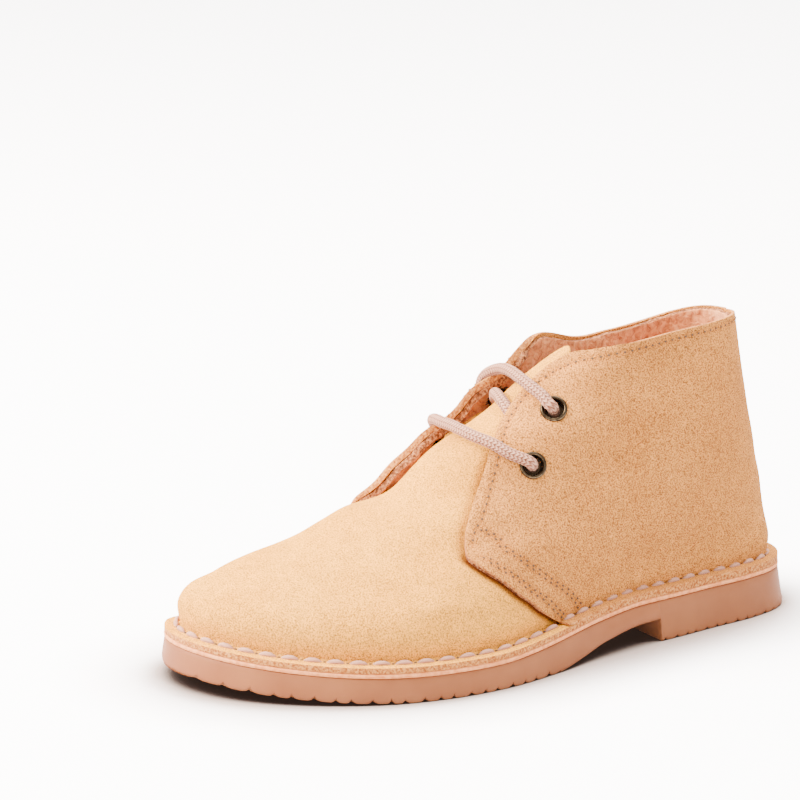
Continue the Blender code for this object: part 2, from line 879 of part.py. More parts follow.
def tube(name, path, material, group):
    """A round cord through the points of a path."""
    curve = bpy.data.curves.new(name, "CURVE")
    curve.dimensions = "3D"
    curve.bevel_depth = LACE_DIAMETER / 2
    curve.bevel_resolution = 2
    curve.use_fill_caps = True
    spline = curve.splines.new("POLY")
    spline.points.add(len(path) - 1)
    for point, place in zip(spline.points, path):
        point.co = (*place, 1.0)
    curve.materials.append(material)
    item = bpy.data.objects.new(name, curve)
    group.objects.link(item)
    return item


def as_mesh(item, group):
    """The same piece as a mesh whose end caps are welded on."""
    graph = bpy.context.evaluated_depsgraph_get()
    mesh = bpy.data.meshes.new_from_object(item.evaluated_get(graph))
    shape = bmesh.new()
    shape.from_mesh(mesh)
    bmesh.ops.remove_doubles(shape, verts=shape.verts, dist=0.00001)
    bmesh.ops.recalc_face_normals(shape, faces=shape.faces)
    shape.to_mesh(mesh)
    shape.free()
    name = item.name
    place = item.matrix_world.copy()
    bpy.data.objects.remove(item, do_unlink=True)
    solid = bpy.data.objects.new(name, mesh)
    solid.matrix_world = place
    group.objects.link(solid)
    return solid


def build():
    clear_scene()
    boot = new_collection("chukka_boot", True)
    cutters = new_collection("cutters", False)
    suede = new_material("suede", (0.71, 0.48, 0.25), 0.95)
    rubber = new_material("rubber", (0.58, 0.33, 0.20), 0.7)
    slip = new_material("midsole_rubber", (0.88, 0.52, 0.30), 0.7)
    sock = new_material("insole_sock", (0.72, 0.42, 0.28), 0.9)
    brass = new_material("antique_brass", (0.17, 0.13, 0.08), 0.35, 1.0)
    cord = new_material("lace_cord", (0.72, 0.50, 0.38), 0.9)

    make_outsole(rubber, boot)
    make_midsole(slip, boot)
    make_insole(sock, boot)
    upper = make_upper(suede, boot)
    make_tongue(suede, boot)

    for side, side_name in ((1, "lateral"), (-1, "medial")):
        for row in EYELETS:
            name = f"eyelet_{side_name}_{row.name}"
            centre, normal = eyelet_seat(row.level, side)
            cutter = add_cutter(name + "_hole", centre, normal, cutters)
            hole = upper.modifiers.new(name, "BOOLEAN")
            hole.operation = "DIFFERENCE"
            hole.solver = "EXACT"
            hole.object = cutter
            make_eyelet(name, centre, normal, brass, boot)

    levels_up = [row.level for row in EYELETS]
    lace = as_mesh(tube("lace_bars", lace_path(levels_up[0], LACE_BAR), cord, boot), boot)
    for name, level, rows in (
        ("upper_bar", levels_up[1], LACE_BAR),
        ("strand", levels_up[0], LACE_STRAND),
    ):
        other = as_mesh(tube(name, lace_path(level, rows), cord, cutters), cutters)
        other.hide_render = True
        other.display_type = "WIRE"
        joined = lace.modifiers.new(name, "BOOLEAN")
        joined.operation = "UNION"
        joined.solver = "EXACT"
        joined.object = other


build()
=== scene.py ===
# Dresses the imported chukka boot: suede, fleece, thread, lace, brass, rubber, floor, light, camera.
# Metres, toe to -Y, outer side of the left foot to +X, ground at z = 0.
import math

import bpy
import numpy as np
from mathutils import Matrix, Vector, noise
from mathutils.kdtree import KDTree


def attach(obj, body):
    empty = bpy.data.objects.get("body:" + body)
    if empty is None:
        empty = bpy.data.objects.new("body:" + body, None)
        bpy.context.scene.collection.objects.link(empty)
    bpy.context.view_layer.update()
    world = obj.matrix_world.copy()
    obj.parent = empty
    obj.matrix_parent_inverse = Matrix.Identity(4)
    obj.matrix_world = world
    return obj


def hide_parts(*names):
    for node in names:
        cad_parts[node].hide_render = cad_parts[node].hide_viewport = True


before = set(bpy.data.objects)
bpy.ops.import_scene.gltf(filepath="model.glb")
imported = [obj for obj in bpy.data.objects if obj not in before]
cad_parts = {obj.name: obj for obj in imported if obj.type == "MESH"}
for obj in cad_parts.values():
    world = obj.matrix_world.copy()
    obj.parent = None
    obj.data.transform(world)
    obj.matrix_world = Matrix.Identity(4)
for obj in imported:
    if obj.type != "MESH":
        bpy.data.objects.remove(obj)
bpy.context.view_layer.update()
bpy.ops.object.select_all(action="DESELECT")
print("frame loaded:", ", ".join(sorted(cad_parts)))

# the boot's own sizes, as in the solids
boot = {
    "length": 0.2575, "width": 0.0965, "foreRubber": 0.0089, "heelRubber": 0.0152,
    "toeSpring": 0.0058, "shankLift": 0.0088, "foreFlare": 0.0011, "heelFlare": 0.0022,
    "midsole": 0.0014, "insole": 0.003, "gap": 0.0003, "flangeWidth": 0.0058,
    "flange": 0.0021, "flangeStep": 0.0007, "collarRise": 0.0961, "instepRise": 0.0885,
    "quarterStep": 0.0012, "wall": 0.002, "heelMiddle": -0.053, "toeMiddle": -0.19,
}
heelY = boot["length"] / 2

# sole's edge: along from the heel, outer, inner, as shares of length and width
outlineRows = np.array([
    (0.03, 0.132, -0.250), (0.10, 0.219, -0.333), (0.20, 0.262, -0.319), (0.30, 0.304, -0.288),
    (0.40, 0.358, -0.292), (0.50, 0.433, -0.341), (0.60, 0.491, -0.415), (0.70, 0.489, -0.470),
    (0.80, 0.420, -0.498), (0.90, 0.263, -0.482), (0.97, 0.067, -0.401),
])
# side profile: along, bottom (of the shank lift), top (forefoot 0, heel 1), toe spring
profileRows = np.array([
    (0.000, 0.00, 1.00, 0.00), (0.292, 0.00, 1.00, 0.00), (0.296, 1.00, 1.00, 0.00),
    (0.330, 0.98, 0.99, 0.00), (0.400, 0.70, 0.79, 0.00), (0.450, 0.32, 0.58, 0.00),
    (0.500, 0.03, 0.35, 0.00), (0.530, 0.00, 0.22, 0.00), (0.620, 0.00, 0.00, 0.00),
    (0.700, 0.00, 0.00, 0.00), (0.800, 0.00, 0.00, 0.11), (0.900, 0.00, 0.00, 0.44),
    (1.000, 0.00, 0.00, 1.00),
])
# foot of the wall: level, inset, rise over the flange
footRows = np.array([(0.0, 0.000, 0.008), (1.0, -0.010, 0.074), (2.0, 0.010, 0.190), (2.5, 0.020, 0.250)])
# loops of the wall: level, back, front, back rise, front rise, ridge, then outer and inner
# widths at heel, waist and ball, fullness at the ridge, and lift of each side
formRows = np.array([
    (1, .029, .975, .074, .080, -.190, .193, -.267, .337, -.252, .406, -.423, .725, .415, 0, 0),
    (2, .038, .952, .214, .190, -.192, .192, -.264, .316, -.267, .368, -.381, .600, .360, 0, 0),
    (3, .047, .900, .350, .275, -.192, .192, -.272, .295, -.278, .295, -.347, .520, .330, 0, 0),
    (4, .059, .822, .485, .345, -.187, .195, -.278, .275, -.285, .233, -.325, .480, .310, 0, 0),
    (5, .069, .744, .589, .437, -.176, .195, -.280, .254, -.290, .212, -.312, .440, .300, 0, 0),
    (6, .078, .667, .693, .540, -.166, .192, -.278, .238, -.285, .202, -.300, .410, .290, 0, 0),
    (7, .086, .593, .797, .713, -.155, .181, -.272, .223, -.275, .192, -.280, .390, .280, .010, -.009),
    (8, .094, .515, .901, .832, -.124, .161, -.259, .197, -.259, .176, -.259, .350, .275, .020, -.022),
    (9, .100, .436, 1.000, 1.000, -.083, .130, -.233, .181, -.249, .176, -.240, .300, .270, .031, -.038),
])
# front edge of each quarter: level, then turn on the outer and on the inner side
edgeRows = np.array([
    (0.00, .485, .500), (1.36, .517, .552), (1.89, .541, .581), (2.43, .568, .612), (2.96, .599, .645),
    (3.44, .629, .678), (3.60, .637, .690), (3.75, .643, .700), (4.29, .665, .742), (4.87, .689, .788),
    (5.47, .715, .835), (6.14, .746, .851), (6.57, .764, .856), (7.18, .797, .867), (7.77, .840, .883),
    (8.12, .862, .893), (8.41, .872, .898), (8.63, .869, .897), (8.84, .858, .888), (9.00, .834, .866),
    (9.08, .800, .836),
])
collarLevel = 9.08


def curveThrough(knots, values, at):  # smooth through its rows and never past them
    at = np.clip(at, knots[0], knots[-1])
    values = np.stack([np.broadcast_to(value, at.shape) for value in values])
    widths = np.diff(knots)
    slopes = np.diff(values, axis=0) / widths.reshape(-1, *[1] * at.ndim)
    before, after = np.concatenate([slopes[:1], slopes]), np.concatenate([slopes, slopes[-1:]])
    product, total = before * after, before + after
    tangents = np.where(product > 0, 2 * product / np.where(total == 0, 1, total), 0)
    i = np.clip(np.searchsorted(knots, at, side="right") - 1, 0, len(knots) - 2)
    pick = lambda rows, k: np.take_along_axis(rows, k[None], 0)[0]
    width = widths[i]
    t = (at - np.asarray(knots)[i]) / width
    return (
        pick(values, i) * (1 + 2 * t) * (1 - t) ** 2 + pick(tangents, i) * width * t * (1 - t) ** 2
        + pick(values, i + 1) * t * t * (3 - 2 * t) + pick(tangents, i + 1) * width * t * t * (t - 1)
    )


def column(table, k, at):
    return curveThrough(table[:, 0], table[:, k], np.asarray(at, float))


def ease(t):
    t = np.clip(t, 0, 1)
    return t * t * (3 - 2 * t)


def mixed(first, second, share):
    return first + (second - first) * share


def shareOf(turn):
    return (1 - np.cos(np.pi * turn)) / 2


def turnOf(share):
    return np.arccos(1 - 2 * np.asarray(share, float)) / np.pi


# a lap runs from the heel at 0 by the outer side to the toe at 1 and back to 2
def turnAndSide(lap):
    lap = np.mod(np.asarray(lap, float), 2)
    return np.where(lap <= 1, lap, 2 - lap), np.where(lap <= 1, 1.0, -1.0)


def unit(vectors):
    return vectors / np.maximum(np.linalg.norm(vectors, axis=-1, keepdims=True), 1e-12)


outlineMiddle = mixed(boot["heelMiddle"], boot["toeMiddle"], outlineRows[:, 0])
outlineSwing = np.sin(np.pi * turnOf(outlineRows[:, 0]))
outlineFull = (outlineRows[:, 1:] - outlineMiddle[:, None]) / outlineSwing[:, None]


def outlineAt(lap):
    turn, side = turnAndSide(lap)
    share = shareOf(turn)
    outer = curveThrough(outlineRows[:, 0], outlineFull[:, 0], share)
    inner = curveThrough(outlineRows[:, 0], outlineFull[:, 1], share)
    reach = np.where(side > 0, outer, inner) * np.sin(np.pi * turn)
    x = mixed(boot["heelMiddle"], boot["toeMiddle"], share) + reach
    return np.stack([boot["width"] * x, heelY - boot["length"] * share], -1)


def insetAt(lap, inset, height):  # a point inside the sole's edge, at a height
    run = outlineAt(lap + 0.004) - outlineAt(lap - 0.004)
    inward = unit(np.stack([run[..., 1], -run[..., 0]], -1))
    here = outlineAt(lap)
    inward = np.where(np.sum(inward * here, -1, keepdims=True) > 0, -inward, inward)
    flat = here + inward * np.broadcast_to(inset, here.shape[:-1])[..., None]
    return np.concatenate([flat, np.broadcast_to(height, here.shape[:-1])[..., None]], -1)


def springAt(along):
    return boot["toeSpring"] * column(profileRows, 3, along)


def groundAt(along):
    return boot["shankLift"] * column(profileRows, 1, along) + springAt(along)


def rubberAt(along):
    return mixed(boot["foreRubber"], boot["heelRubber"], column(profileRows, 2, along)) + springAt(along)


def flareAt(along):
    return mixed(boot["foreFlare"], boot["heelFlare"], column(profileRows, 2, along))


def stripTopAt(along):
    return rubberAt(along) + boot["gap"] + boot["midsole"]


def flangeTopAt(along):
    return stripTopAt(along) + boot["gap"] + boot["flange"]


def footPoint(level, lap):
    share = shareOf(turnAndSide(lap)[0])
    inset = flareAt(share) + boot["flangeWidth"] + boot["collarRise"] * column(footRows, 1, level)
    return insetAt(lap, inset, flangeTopAt(share) + boot["collarRise"] * column(footRows, 2, level))


def formPoint(level, lap):
    turn, side = turnAndSide(lap)
    share, swing = shareOf(turn), np.sin(np.pi * turn)
    along = mixed(column(formRows, 1, level), column(formRows, 2, level), share)
    ridge = column(formRows, 5, level)
    middle = mixed(boot["heelMiddle"], ridge, share)
    reaches = []
    for station, k in ((0.15, 6), (0.45, 8), (0.75, 10)):
        centre = mixed(boot["heelMiddle"], ridge, station)
        reach = np.where(side > 0, column(formRows, k, level), column(formRows, k + 1, level)) - centre
        reaches.append(np.abs(reach) / math.sin(math.pi * float(turnOf(station))))
    reaches.append(np.where(side > 0, column(formRows, 12, level), column(formRows, 13, level)))
    width = side * curveThrough([0.15, 0.45, 0.75, 1.0], reaches, share) * swing
    rise = boot["collarRise"] * column(formRows, 3, level) * (1 - share)
    rise = rise + boot["instepRise"] * column(formRows, 4, level) * share
    lift = np.where(side > 0, column(formRows, 14, level), column(formRows, 15, level))
    height = flangeTopAt(along) + rise + boot["collarRise"] * lift * swing
    return np.stack([boot["width"] * (middle + width), heelY - boot["length"] * along, height], -1)


def flangePoint(level, lap):  # from the wall's foot at 0 down a small round to the flange's edge at -1
    share = shareOf(turnAndSide(lap)[0])
    t = -level
    u = np.clip(t / 0.3, 0, 1)
    run = boot["flangeWidth"] - 0.0017 * u * u
    inset = np.where(t < 0.3, run, (boot["flangeWidth"] - 0.0017) * (1 - t) / 0.7)
    rise = 0.008 * boot["collarRise"] * (1 - u) ** 2
    return insetAt(lap, flareAt(share) + inset, flangeTopAt(share) + rise)


# the boot's outer surface: flange below level 0, wall to the collar at 9, tongue past it
def skin(level, lap):
    level, lap = np.broadcast_arrays(np.asarray(level, float), np.asarray(lap, float))
    onWall = np.clip(level, 0, 9)
    share = ease((onWall - 1) / 1.5)[..., None]
    low, high = footPoint(np.minimum(onWall, 2.5), lap), formPoint(np.maximum(onWall, 1), lap)
    wall = low * (1 - share) + high * share
    flange = flangePoint(np.clip(level, -1, 0), lap)
    points = np.where((level < 0)[..., None], flange, wall)
    if np.any(level > 9):
        top, below = formPoint(np.full_like(lap, 9.0), lap), formPoint(np.full_like(lap, 8.8), lap)
        past = top + (top - below) * ((level - 9) / 0.2)[..., None]
        points = np.where((level > 9)[..., None], past, points)
    return points


def facing(level, lap, tall=0.03, wide=0.004):  # direction that a patch of the surface faces
    up = skin(np.minimum(level + tall, 9.6), lap) - skin(np.maximum(level - tall, -1), lap)
    return unit(np.cross(up, skin(level, lap + wide) - skin(level, lap - wide)))


def edgeLap(level, side):  # front edge of a quarter, as a turn
    return column(edgeRows, 1 if side > 0 else 2, level)


def stretchAt(level, lap):  # metres of surface for one lap
    return np.linalg.norm(skin(level, lap + 0.002) - skin(level, lap - 0.002), axis=-1) / 0.004


def behind(level, side, distance):  # turn that lies a distance behind the quarter's front edge
    level = np.asarray(level, float)
    turn = edgeLap(level, side) + 0 * level
    for _ in range(12):
        turn = turn - distance / 12 / np.maximum(stretchAt(level, turn * side), 1e-4)
    return turn


def fromEdge(level, lap):  # metres behind the nearer front edge of a quarter, along its level
    turn, side = turnAndSide(lap)
    out = np.zeros_like(turn)
    for s in (1, -1):
        edge = edgeLap(level, s)
        gap = skin(level, np.where(side == s, turn, edge) * s) - skin(level, edge * s)
        out = np.where(side == s, np.linalg.norm(gap, axis=-1) * np.sign(edge - turn), out)
    return out


def ripples(points, size, amount, seed=0.0):  # soft unevenness of a hide
    offset = Vector((seed, seed * 1.7, seed * 0.3))
    flat = points.reshape(-1, 3) / size
    return np.array([noise.noise(Vector(p) + offset) for p in flat]).reshape(points.shape[:-1]) * amount


print("form ready")

# Materials


def colour(hexCode):  # sRGB hex to linear
    channels = [int(hexCode[i : i + 2], 16) / 255 for i in (1, 3, 5)]
    return (*[c / 12.92 if c <= 0.04045 else ((c + 0.055) / 1.055) ** 2.4 for c in channels], 1.0)


def grey(value):
    return (value, value, value, 1.0)


# adds a node with its settings and links; "size" is that of a pattern's marks in millimetres
def node(tree, kind, settings=None, links=None):
    made = tree.nodes.new("ShaderNode" + kind)
    for key, value in (settings or {}).items():
        if key == "stops":
            elements = made.color_ramp.elements
            while len(elements) < len(value):
                elements.new(0.5)
            for element, (place, shade) in zip(elements, value):
                element.position = place
                element.color = shade if isinstance(shade, tuple) else colour(shade)
        elif key == "size":
            made.inputs["Scale"].default_value = 1000 / value
        elif isinstance(key, str) and hasattr(made, key):
            setattr(made, key, value)
        else:
            made.inputs[key].default_value = value
    for key, source in (links or {}).items():
        tree.links.new(source, made.inputs[key])
    return made


def surface(name, settings):
    material = bpy.data.materials.new(name)
    material.use_nodes = True
    tree = material.node_tree
    shader = tree.nodes["Principled BSDF"]
    for key, value in settings.items():
        shader.inputs[key].default_value = value
    return material, tree, shader, node(tree, "TexCoord").outputs["Object"]


def layered(tree, layers):  # shades that follow patterns, each multiplied over those before it
    shade = None
    for pattern, stops in layers:
        tone = node(tree, "ValToRGB", {"stops": stops}, {"Fac": pattern}).outputs["Color"]
        if shade is not None:
            multiply = {"data_type": "RGBA", "blend_type": "MULTIPLY", 0: 1.0}
            tone = node(tree, "Mix", multiply, {6: shade, 7: tone}).outputs[2]
        shade = tone
    return shade


# gives a shader its colour and a relief in mm, over another relief if there is one
def finish(tree, shader, shade, height, strength, depth, under=None):
    tree.links.new(shade, shader.inputs["Base Color"])
    links = {"Height": height} if under is None else {"Height": height, "Normal": under}
    relief = node(tree, "Bump", {"Strength": strength, "Distance": depth / 1000}, links)
    tree.links.new(relief.outputs["Normal"], shader.inputs["Normal"])


# marks on the suede: size in mm, detail, roughness; real nap is finer, but would not show
suedeMarks = {"patches": (26.3, 3.0, 0.5), "strokes": (4.762, 3.0, 0.5), "nap": (0.5263, 2.0, 0.6)}


def suedeMaterial(name, look):  # split hide with its nap brushed up: no gloss, a soft bright rim
    material, tree, shader, place = surface(name, {
        "Roughness": 0.95, "Specular IOR Level": 0.06, "Sheen Weight": look["sheen"],
        "Sheen Roughness": 0.5, "Sheen Tint": colour(look["light"]),
    })
    patterns = []
    for size, detail, roughness in suedeMarks.values():
        settings = {"size": size, "Detail": detail, "Roughness": roughness}
        patterns.append(node(tree, "TexNoise", settings, {"Vector": place}).outputs["Fac"])
    patches, strokes, nap = patterns
    grain = node(tree, "TexVoronoi", {"size": 0.5}, {"Vector": place}).outputs["Distance"]
    # the seam attribute paints shade into the suede: darker along the quarters' seams and stitch rows, and as
    # the shadow under the quarters' edge on the vamp, in the look's painted shade colour
    seam = node(tree, "Attribute", {"attribute_name": "seam"}).outputs["Fac"]
    shade = layered(tree, [
        (patches, [(0.32, look["base"]), (0.68, look["light"])]),
        (strokes, [(0.3, grey(0.90)), (0.7, grey(1.06))]),
        (nap, [(0.36, grey(1 - look["grain"])), (0.5, grey(1.0)), (0.66, grey(1 + look["grain"] * 0.6))]),
        (seam, [(0.0, grey(1.0)), (1.0, look["paintedShade"])]),
    ])
    sunk = node(tree, "Bump", {"Strength": 0.8, "Distance": 0.0006, "invert": True}, {"Height": seam})
    tufted = {"Height": nap, "Normal": sunk.outputs["Normal"]}
    tufted = node(tree, "Bump", {"Strength": look["bump"], "Distance": 0.0006}, tufted)
    finish(tree, shader, shade, grain, look["bump"] * 0.5, 0.2, tufted.outputs["Normal"])
    return material


def fibreMaterial(name, shades):  # sliced hide: loose fibres with darker gaps between them
    material, tree, shader, place = surface(name, {
        "Roughness": 0.95, "Specular IOR Level": 0.06, "Sheen Weight": 0.05,
    })
    settings = {"size": 0.9091, "Detail": 3.0, "Roughness": 0.65}
    fibres = node(tree, "TexNoise", settings, {"Vector": place}).outputs["Fac"]
    finish(tree, shader, layered(tree, [(fibres, list(zip((0.38, 0.5, 0.62), shades)))]), fibres, 0.7, 0.4)
    return material


def fleeceMaterial():  # short curled pile, dyed peach, paler where the light comes through it
    material, tree, shader, place = surface("fleecePile", {
        "Roughness": 1.0, "Specular IOR Level": 0.05, "Sheen Weight": 0.35, "Sheen Roughness": 0.6,
        "Sheen Tint": colour("#FFD9C4"),
    })
    settings = {"size": 2.381, "Detail": 4.0, "Roughness": 0.65, "Distortion": 0.8}
    curls = node(tree, "TexNoise", settings, {"Vector": place}).outputs["Fac"]
    clumps = node(tree, "TexNoise", {"size": 9.091, "Detail": 2.0}, {"Vector": place}).outputs["Fac"]
    shade = layered(tree, [
        (curls, [(0.34, "#9E5930"), (0.5, "#C97F49"), (0.66, "#E5A067")]),
        (clumps, [(0.4, grey(0.94)), (0.7, grey(1.06))]),
    ])
    finish(tree, shader, shade, curls, 0.9, 0.9)
    return material


def threadMaterial(name, pale, dark, plies):  # waxed thread of twisted plies
    material, tree, shader, place = surface(name, {"Roughness": 0.8, "Specular IOR Level": 0.15})
    along = node(tree, "TexCoord").outputs["UV"]
    settings = {"Scale": plies, "Distortion": 0.4, "bands_direction": "DIAGONAL"}
    twist = node(tree, "TexWave", settings, {"Vector": along}).outputs["Fac"]
    finish(tree, shader, layered(tree, [(twist, [(0.15, dark), (0.6, pale)])]), twist, 0.5, 0.2)
    return material


def rubberMaterial():  # moulded gum rubber: even, matt, with a faint bloom
    material, tree, shader, place = surface("gumRubber", {
        "Roughness": 0.6, "Specular IOR Level": 0.16, "IOR": 1.52,
    })
    bloom = node(tree, "TexNoise", {"size": 16.67, "Detail": 3.0}, {"Vector": place}).outputs["Fac"]
    fine = node(tree, "TexNoise", {"size": 1.111, "Detail": 2.0}, {"Vector": place}).outputs["Fac"]
    finish(tree, shader, layered(tree, [(bloom, [(0.3, "#784424"), (0.7, "#834E2B")])]), fine, 0.12, 0.2)
    return material


def stripMaterial():  # thin pale sheet rubber with a cut, slightly rough edge
    material, tree, shader, place = surface("paleSheetRubber", {"Roughness": 0.75, "Specular IOR Level": 0.25})
    fine = node(tree, "TexNoise", {"size": 1.923, "Detail": 3.0}, {"Vector": place}).outputs["Fac"]
    finish(tree, shader, layered(tree, [(fine, [(0.36, "#C4733F"), (0.64, "#DB8F58")])]), fine, 0.35, 0.3)
    return material


def brassMaterial():  # antique brass: darkened plating, with stains that vary its colour and shine at random
    material, tree, shader, place = surface("antiqueBrass", {"Metallic": 1.0, "Roughness": 0.3})
    stain = node(tree, "TexNoise", {"size": 1.4286, "Detail": 3.0}, {"Vector": place}).outputs["Fac"]
    for socket, stops in (
        ("Base Color", [(0.3, "#1D1711"), (0.7, "#483B2B")]),
        ("Roughness", [(0.3, grey(0.32)), (0.7, grey(0.2))]),
    ):
        tree.links.new(layered(tree, [(stain, stops)]), shader.inputs[socket])
    return material


def laceMaterial():  # braided cotton cord: the braid is in the mesh, and its height paints shade into the grooves and a highlight onto the crowns; the yarn's own nap is here
    material, tree, shader, place = surface("braidedCotton", {
        "Roughness": 0.85, "Specular IOR Level": 0.15, "Sheen Weight": 0.05,
    })
    height = node(tree, "Attribute", {"attribute_name": "braid"}).outputs["Fac"]
    yarn = node(tree, "TexNoise", {"size": 0.625, "Detail": 2.0}, {"Vector": place}).outputs["Fac"]
    # painted shade down in the braid's grooves and a painted highlight on its crowns, from the braid's height
    shade = layered(tree, [
        (height, [(0.05, "#2E160D"), (0.45, "#784A37"), (0.95, "#BE8E73")]),
        (yarn, [(0.3, grey(0.92)), (0.7, grey(1.05))]),
    ])
    finish(tree, shader, shade, yarn, 0.4, 0.2)
    return material


def needleHoleMaterial():  # painted shade for the dark inside of a pricked hole, with loose nap in it
    material, tree, shader, place = surface("needleHole", {"Roughness": 0.95, "Specular IOR Level": 0.2})
    dust = node(tree, "TexNoise", {"size": 3.333}, {"Vector": place}).outputs["Fac"]
    dark = colour("#54402C")[:3]
    shades = [(*[channel * share for channel in dark], 1.0) for share in (0.92, 1.05)]
    tree.links.new(layered(tree, [(dust, list(zip((0.3, 0.7), shades)))]), shader.inputs["Base Color"])
    return material


# paintedShade is multiplied in along the seam attribute: on the quarters a painted shade in their seams and
# stitch rows, on the vamp a painted shadow under the quarters' edge
quarterSuede = suedeMaterial("quarterSuede", {
    "base": "#B47434", "light": "#BE7D3A", "grain": 0.68, "bump": 1.0, "sheen": 0.05, "paintedShade": "#ECDDCC",
})
vampSuede = suedeMaterial("vampSuede", {
    "base": "#D08C2E", "light": "#D79435", "grain": 0.52, "bump": 0.9, "sheen": 0.03, "paintedShade": "#6B452C",
})
cutEdge = fibreMaterial("hideCutEdge", ("#7E451C", "#A96A32", "#C4864A"))
throatCut = fibreMaterial("throatCutEdge", ("#45230F", "#7E4A2A", "#AE7448"))
fleece = fleeceMaterial()
weltThread = threadMaterial("weltThread", "#CF9C84", "#8E604C", 9.0)
seamThread = threadMaterial("seamThread", "#AE7431", "#8C5822", 6.0)
holeShade = needleHoleMaterial()
rubber = rubberMaterial()
strip = stripMaterial()
brass = brassMaterial()
cotton = laceMaterial()
print("materials ready")

# Pieces


def activate(piece):
    bpy.ops.object.select_all(action="DESELECT")
    piece.select_set(True)
    bpy.context.view_layer.objects.active = piece


def modify(piece, kind, settings):  # adds a modifier and applies it
    activate(piece)
    made = piece.modifiers.new(kind.title(), kind)
    for key, value in settings.items():
        setattr(made, key, value)
    bpy.ops.object.modifier_apply(modifier=made.name)


def edited(*steps):  # operators with their settings, in edit mode, on all of the active piece
    bpy.ops.object.mode_set(mode="EDIT")
    bpy.ops.mesh.select_all(action="SELECT")
    for step, settings in steps:
        step(**settings)
    bpy.ops.object.mode_set(mode="OBJECT")


def loft(name, points, closed=False):  # a grid whose rows and columns are laid on a shape
    rows, columns = points.shape[:2]
    bpy.ops.mesh.primitive_grid_add(x_subdivisions=columns - 1, y_subdivisions=rows - 1, size=1)
    piece = bpy.context.object
    piece.name = piece.data.name = name
    piece.data.vertices.foreach_set("co", points[:, ::-1].reshape(-1).astype(np.float32))
    piece.data.update()
    if closed:
        edited(
            (bpy.ops.mesh.remove_doubles, {"threshold": 0.00002}),
            (bpy.ops.mesh.normals_make_consistent, {"inside": False}),
        )
    return piece


def paint(piece, name, values):  # a number at each vertex of a fresh loft
    data = piece.data.attributes.new(name, "FLOAT", "POINT").data
    data.foreach_set("value", values[:, ::-1].reshape(-1).astype(np.float32))


eyelet = {
    "outer": 0.0102, "bore": 0.0071, "barrel": 0.0037, "rim": 0.0011, "seat": 0.0005, "clinch": 0.0006,
    "setback": 0.0186, "levels": (6.36, 7.74), "patch": (0.45, 0.03), "cut": 0.0041, "reach": 0.006,
    "steps": 56, "beadSteps": 8,
}


def pierce(piece, holes):  # cuts the faces that lie under each eyelet's lip
    if not holes:
        return
    activate(piece)
    edited((bpy.ops.mesh.select_mode, {"type": "FACE"}), (bpy.ops.mesh.select_all, {"action": "DESELECT"}))
    centres = np.array([face.center for face in piece.data.polygons])
    for place, axis in holes:
        away = centres - place
        flat = away - axis * (away @ axis)[:, None]
        inside = np.linalg.norm(flat, axis=1) < eyelet["cut"]
        near = np.linalg.norm(away, axis=1) < eyelet["reach"]
        for i in np.flatnonzero(inside & near):
            piece.data.polygons[i].select = True
    bpy.ops.object.mode_set(mode="EDIT")
    bpy.ops.mesh.delete(type="FACE")
    bpy.ops.mesh.select_mode(type="VERT")
    bpy.ops.object.mode_set(mode="OBJECT")


def thicken(piece, thickness, materials, holes=()):  # thickness is an array over the loft
    group = piece.vertex_groups.new(name="thickness")
    most = float(thickness.max())
    for i, value in enumerate(thickness[:, ::-1].reshape(-1) / most):
        group.add([i], float(value), "REPLACE")
    for material in materials:
        piece.data.materials.append(material)
    pierce(piece, holes)
    modify(piece, "SOLIDIFY", {
        "thickness": most, "offset": -1.0, "vertex_group": "thickness", "use_rim": True,
        "material_offset_rim": len(materials) - 1,
    })
    modify(piece, "BEVEL", {
        "width": 0.0003, "segments": 2, "limit_method": "ANGLE", "angle_limit": 0.9,
    })


def dress(piece, slot, *replaced):
    activate(piece)
    bpy.ops.object.shade_smooth_by_angle(angle=math.radians(50))
    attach(piece, "root")
    if replaced:
        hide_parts(*replaced)


def spread(start, end, count):
    return np.linspace(start, end, count)


flangeLevels = [-1, -0.93, -0.82, -0.7, -0.58, -0.46, -0.36, -0.29, -0.22, -0.15, -0.08]

# creases of a boot that has been tried on: level, lap, depth, and how far each reaches in level and lap
creases = [
    (4.9, 0.90, 0.0006, 0.35, 0.10), (4.2, 1.06, 0.0005, 0.30, 0.09), (2.2, 0.60, 0.0004, 0.9, 0.03),
    (5.2, 0.30, 0.0006, 0.5, 0.16), (3.4, 0.16, 0.0005, 0.4, 0.10), (6.8, 0.42, -0.0005, 0.8, 0.12),
    (5.5, 1.66, 0.0006, 0.5, 0.14), (3.6, 1.84, 0.0004, 0.4, 0.10),
]


def creaseLift(level, lap):
    lift = 0 * level
    for atLevel, atLap, depth, reach, wide in creases:
        away = np.mod(lap - atLap + 1, 2) - 1
        lift = lift - depth * np.exp(-(((level - atLevel) / reach) ** 2) - (away / wide) ** 2)
    return lift


# quarters: one loop of suede from facing to facing round the heel
quarter = {"columns": 270, "rows": 104, "thickness": 0.0013, "bulk": 0.0012, "lap": 0.010}


# the inner facing bulges between the lace's bars and is pinched at them: level, lift, reach in levels
bulges = [(6.25, 0.0019, 0.40), (6.95, 0.0006, 0.25), (8.12, 0.0032, 0.38), (9.0, 0.0022, 0.35)]


def facingWave(level, lap, distance):
    turn, side = turnAndSide(lap)
    lift = sum(height * np.exp(-(((level - at) / reach) ** 2)) for at, height, reach in bulges)
    inner = np.exp(-((distance / 0.010) ** 2)) * lift * (side < 0)
    return inner + 0.0004 * np.exp(-((distance / 0.004) ** 2)) * (side > 0)  # the outer one just lifts


# the inner collar stands up at its front corner and again near the heel: turn, height, reach
ears = [(0.73, 0.0041, 0.09), (0.57, -0.0006, 0.06), (0.16, 0.0019, 0.13)]


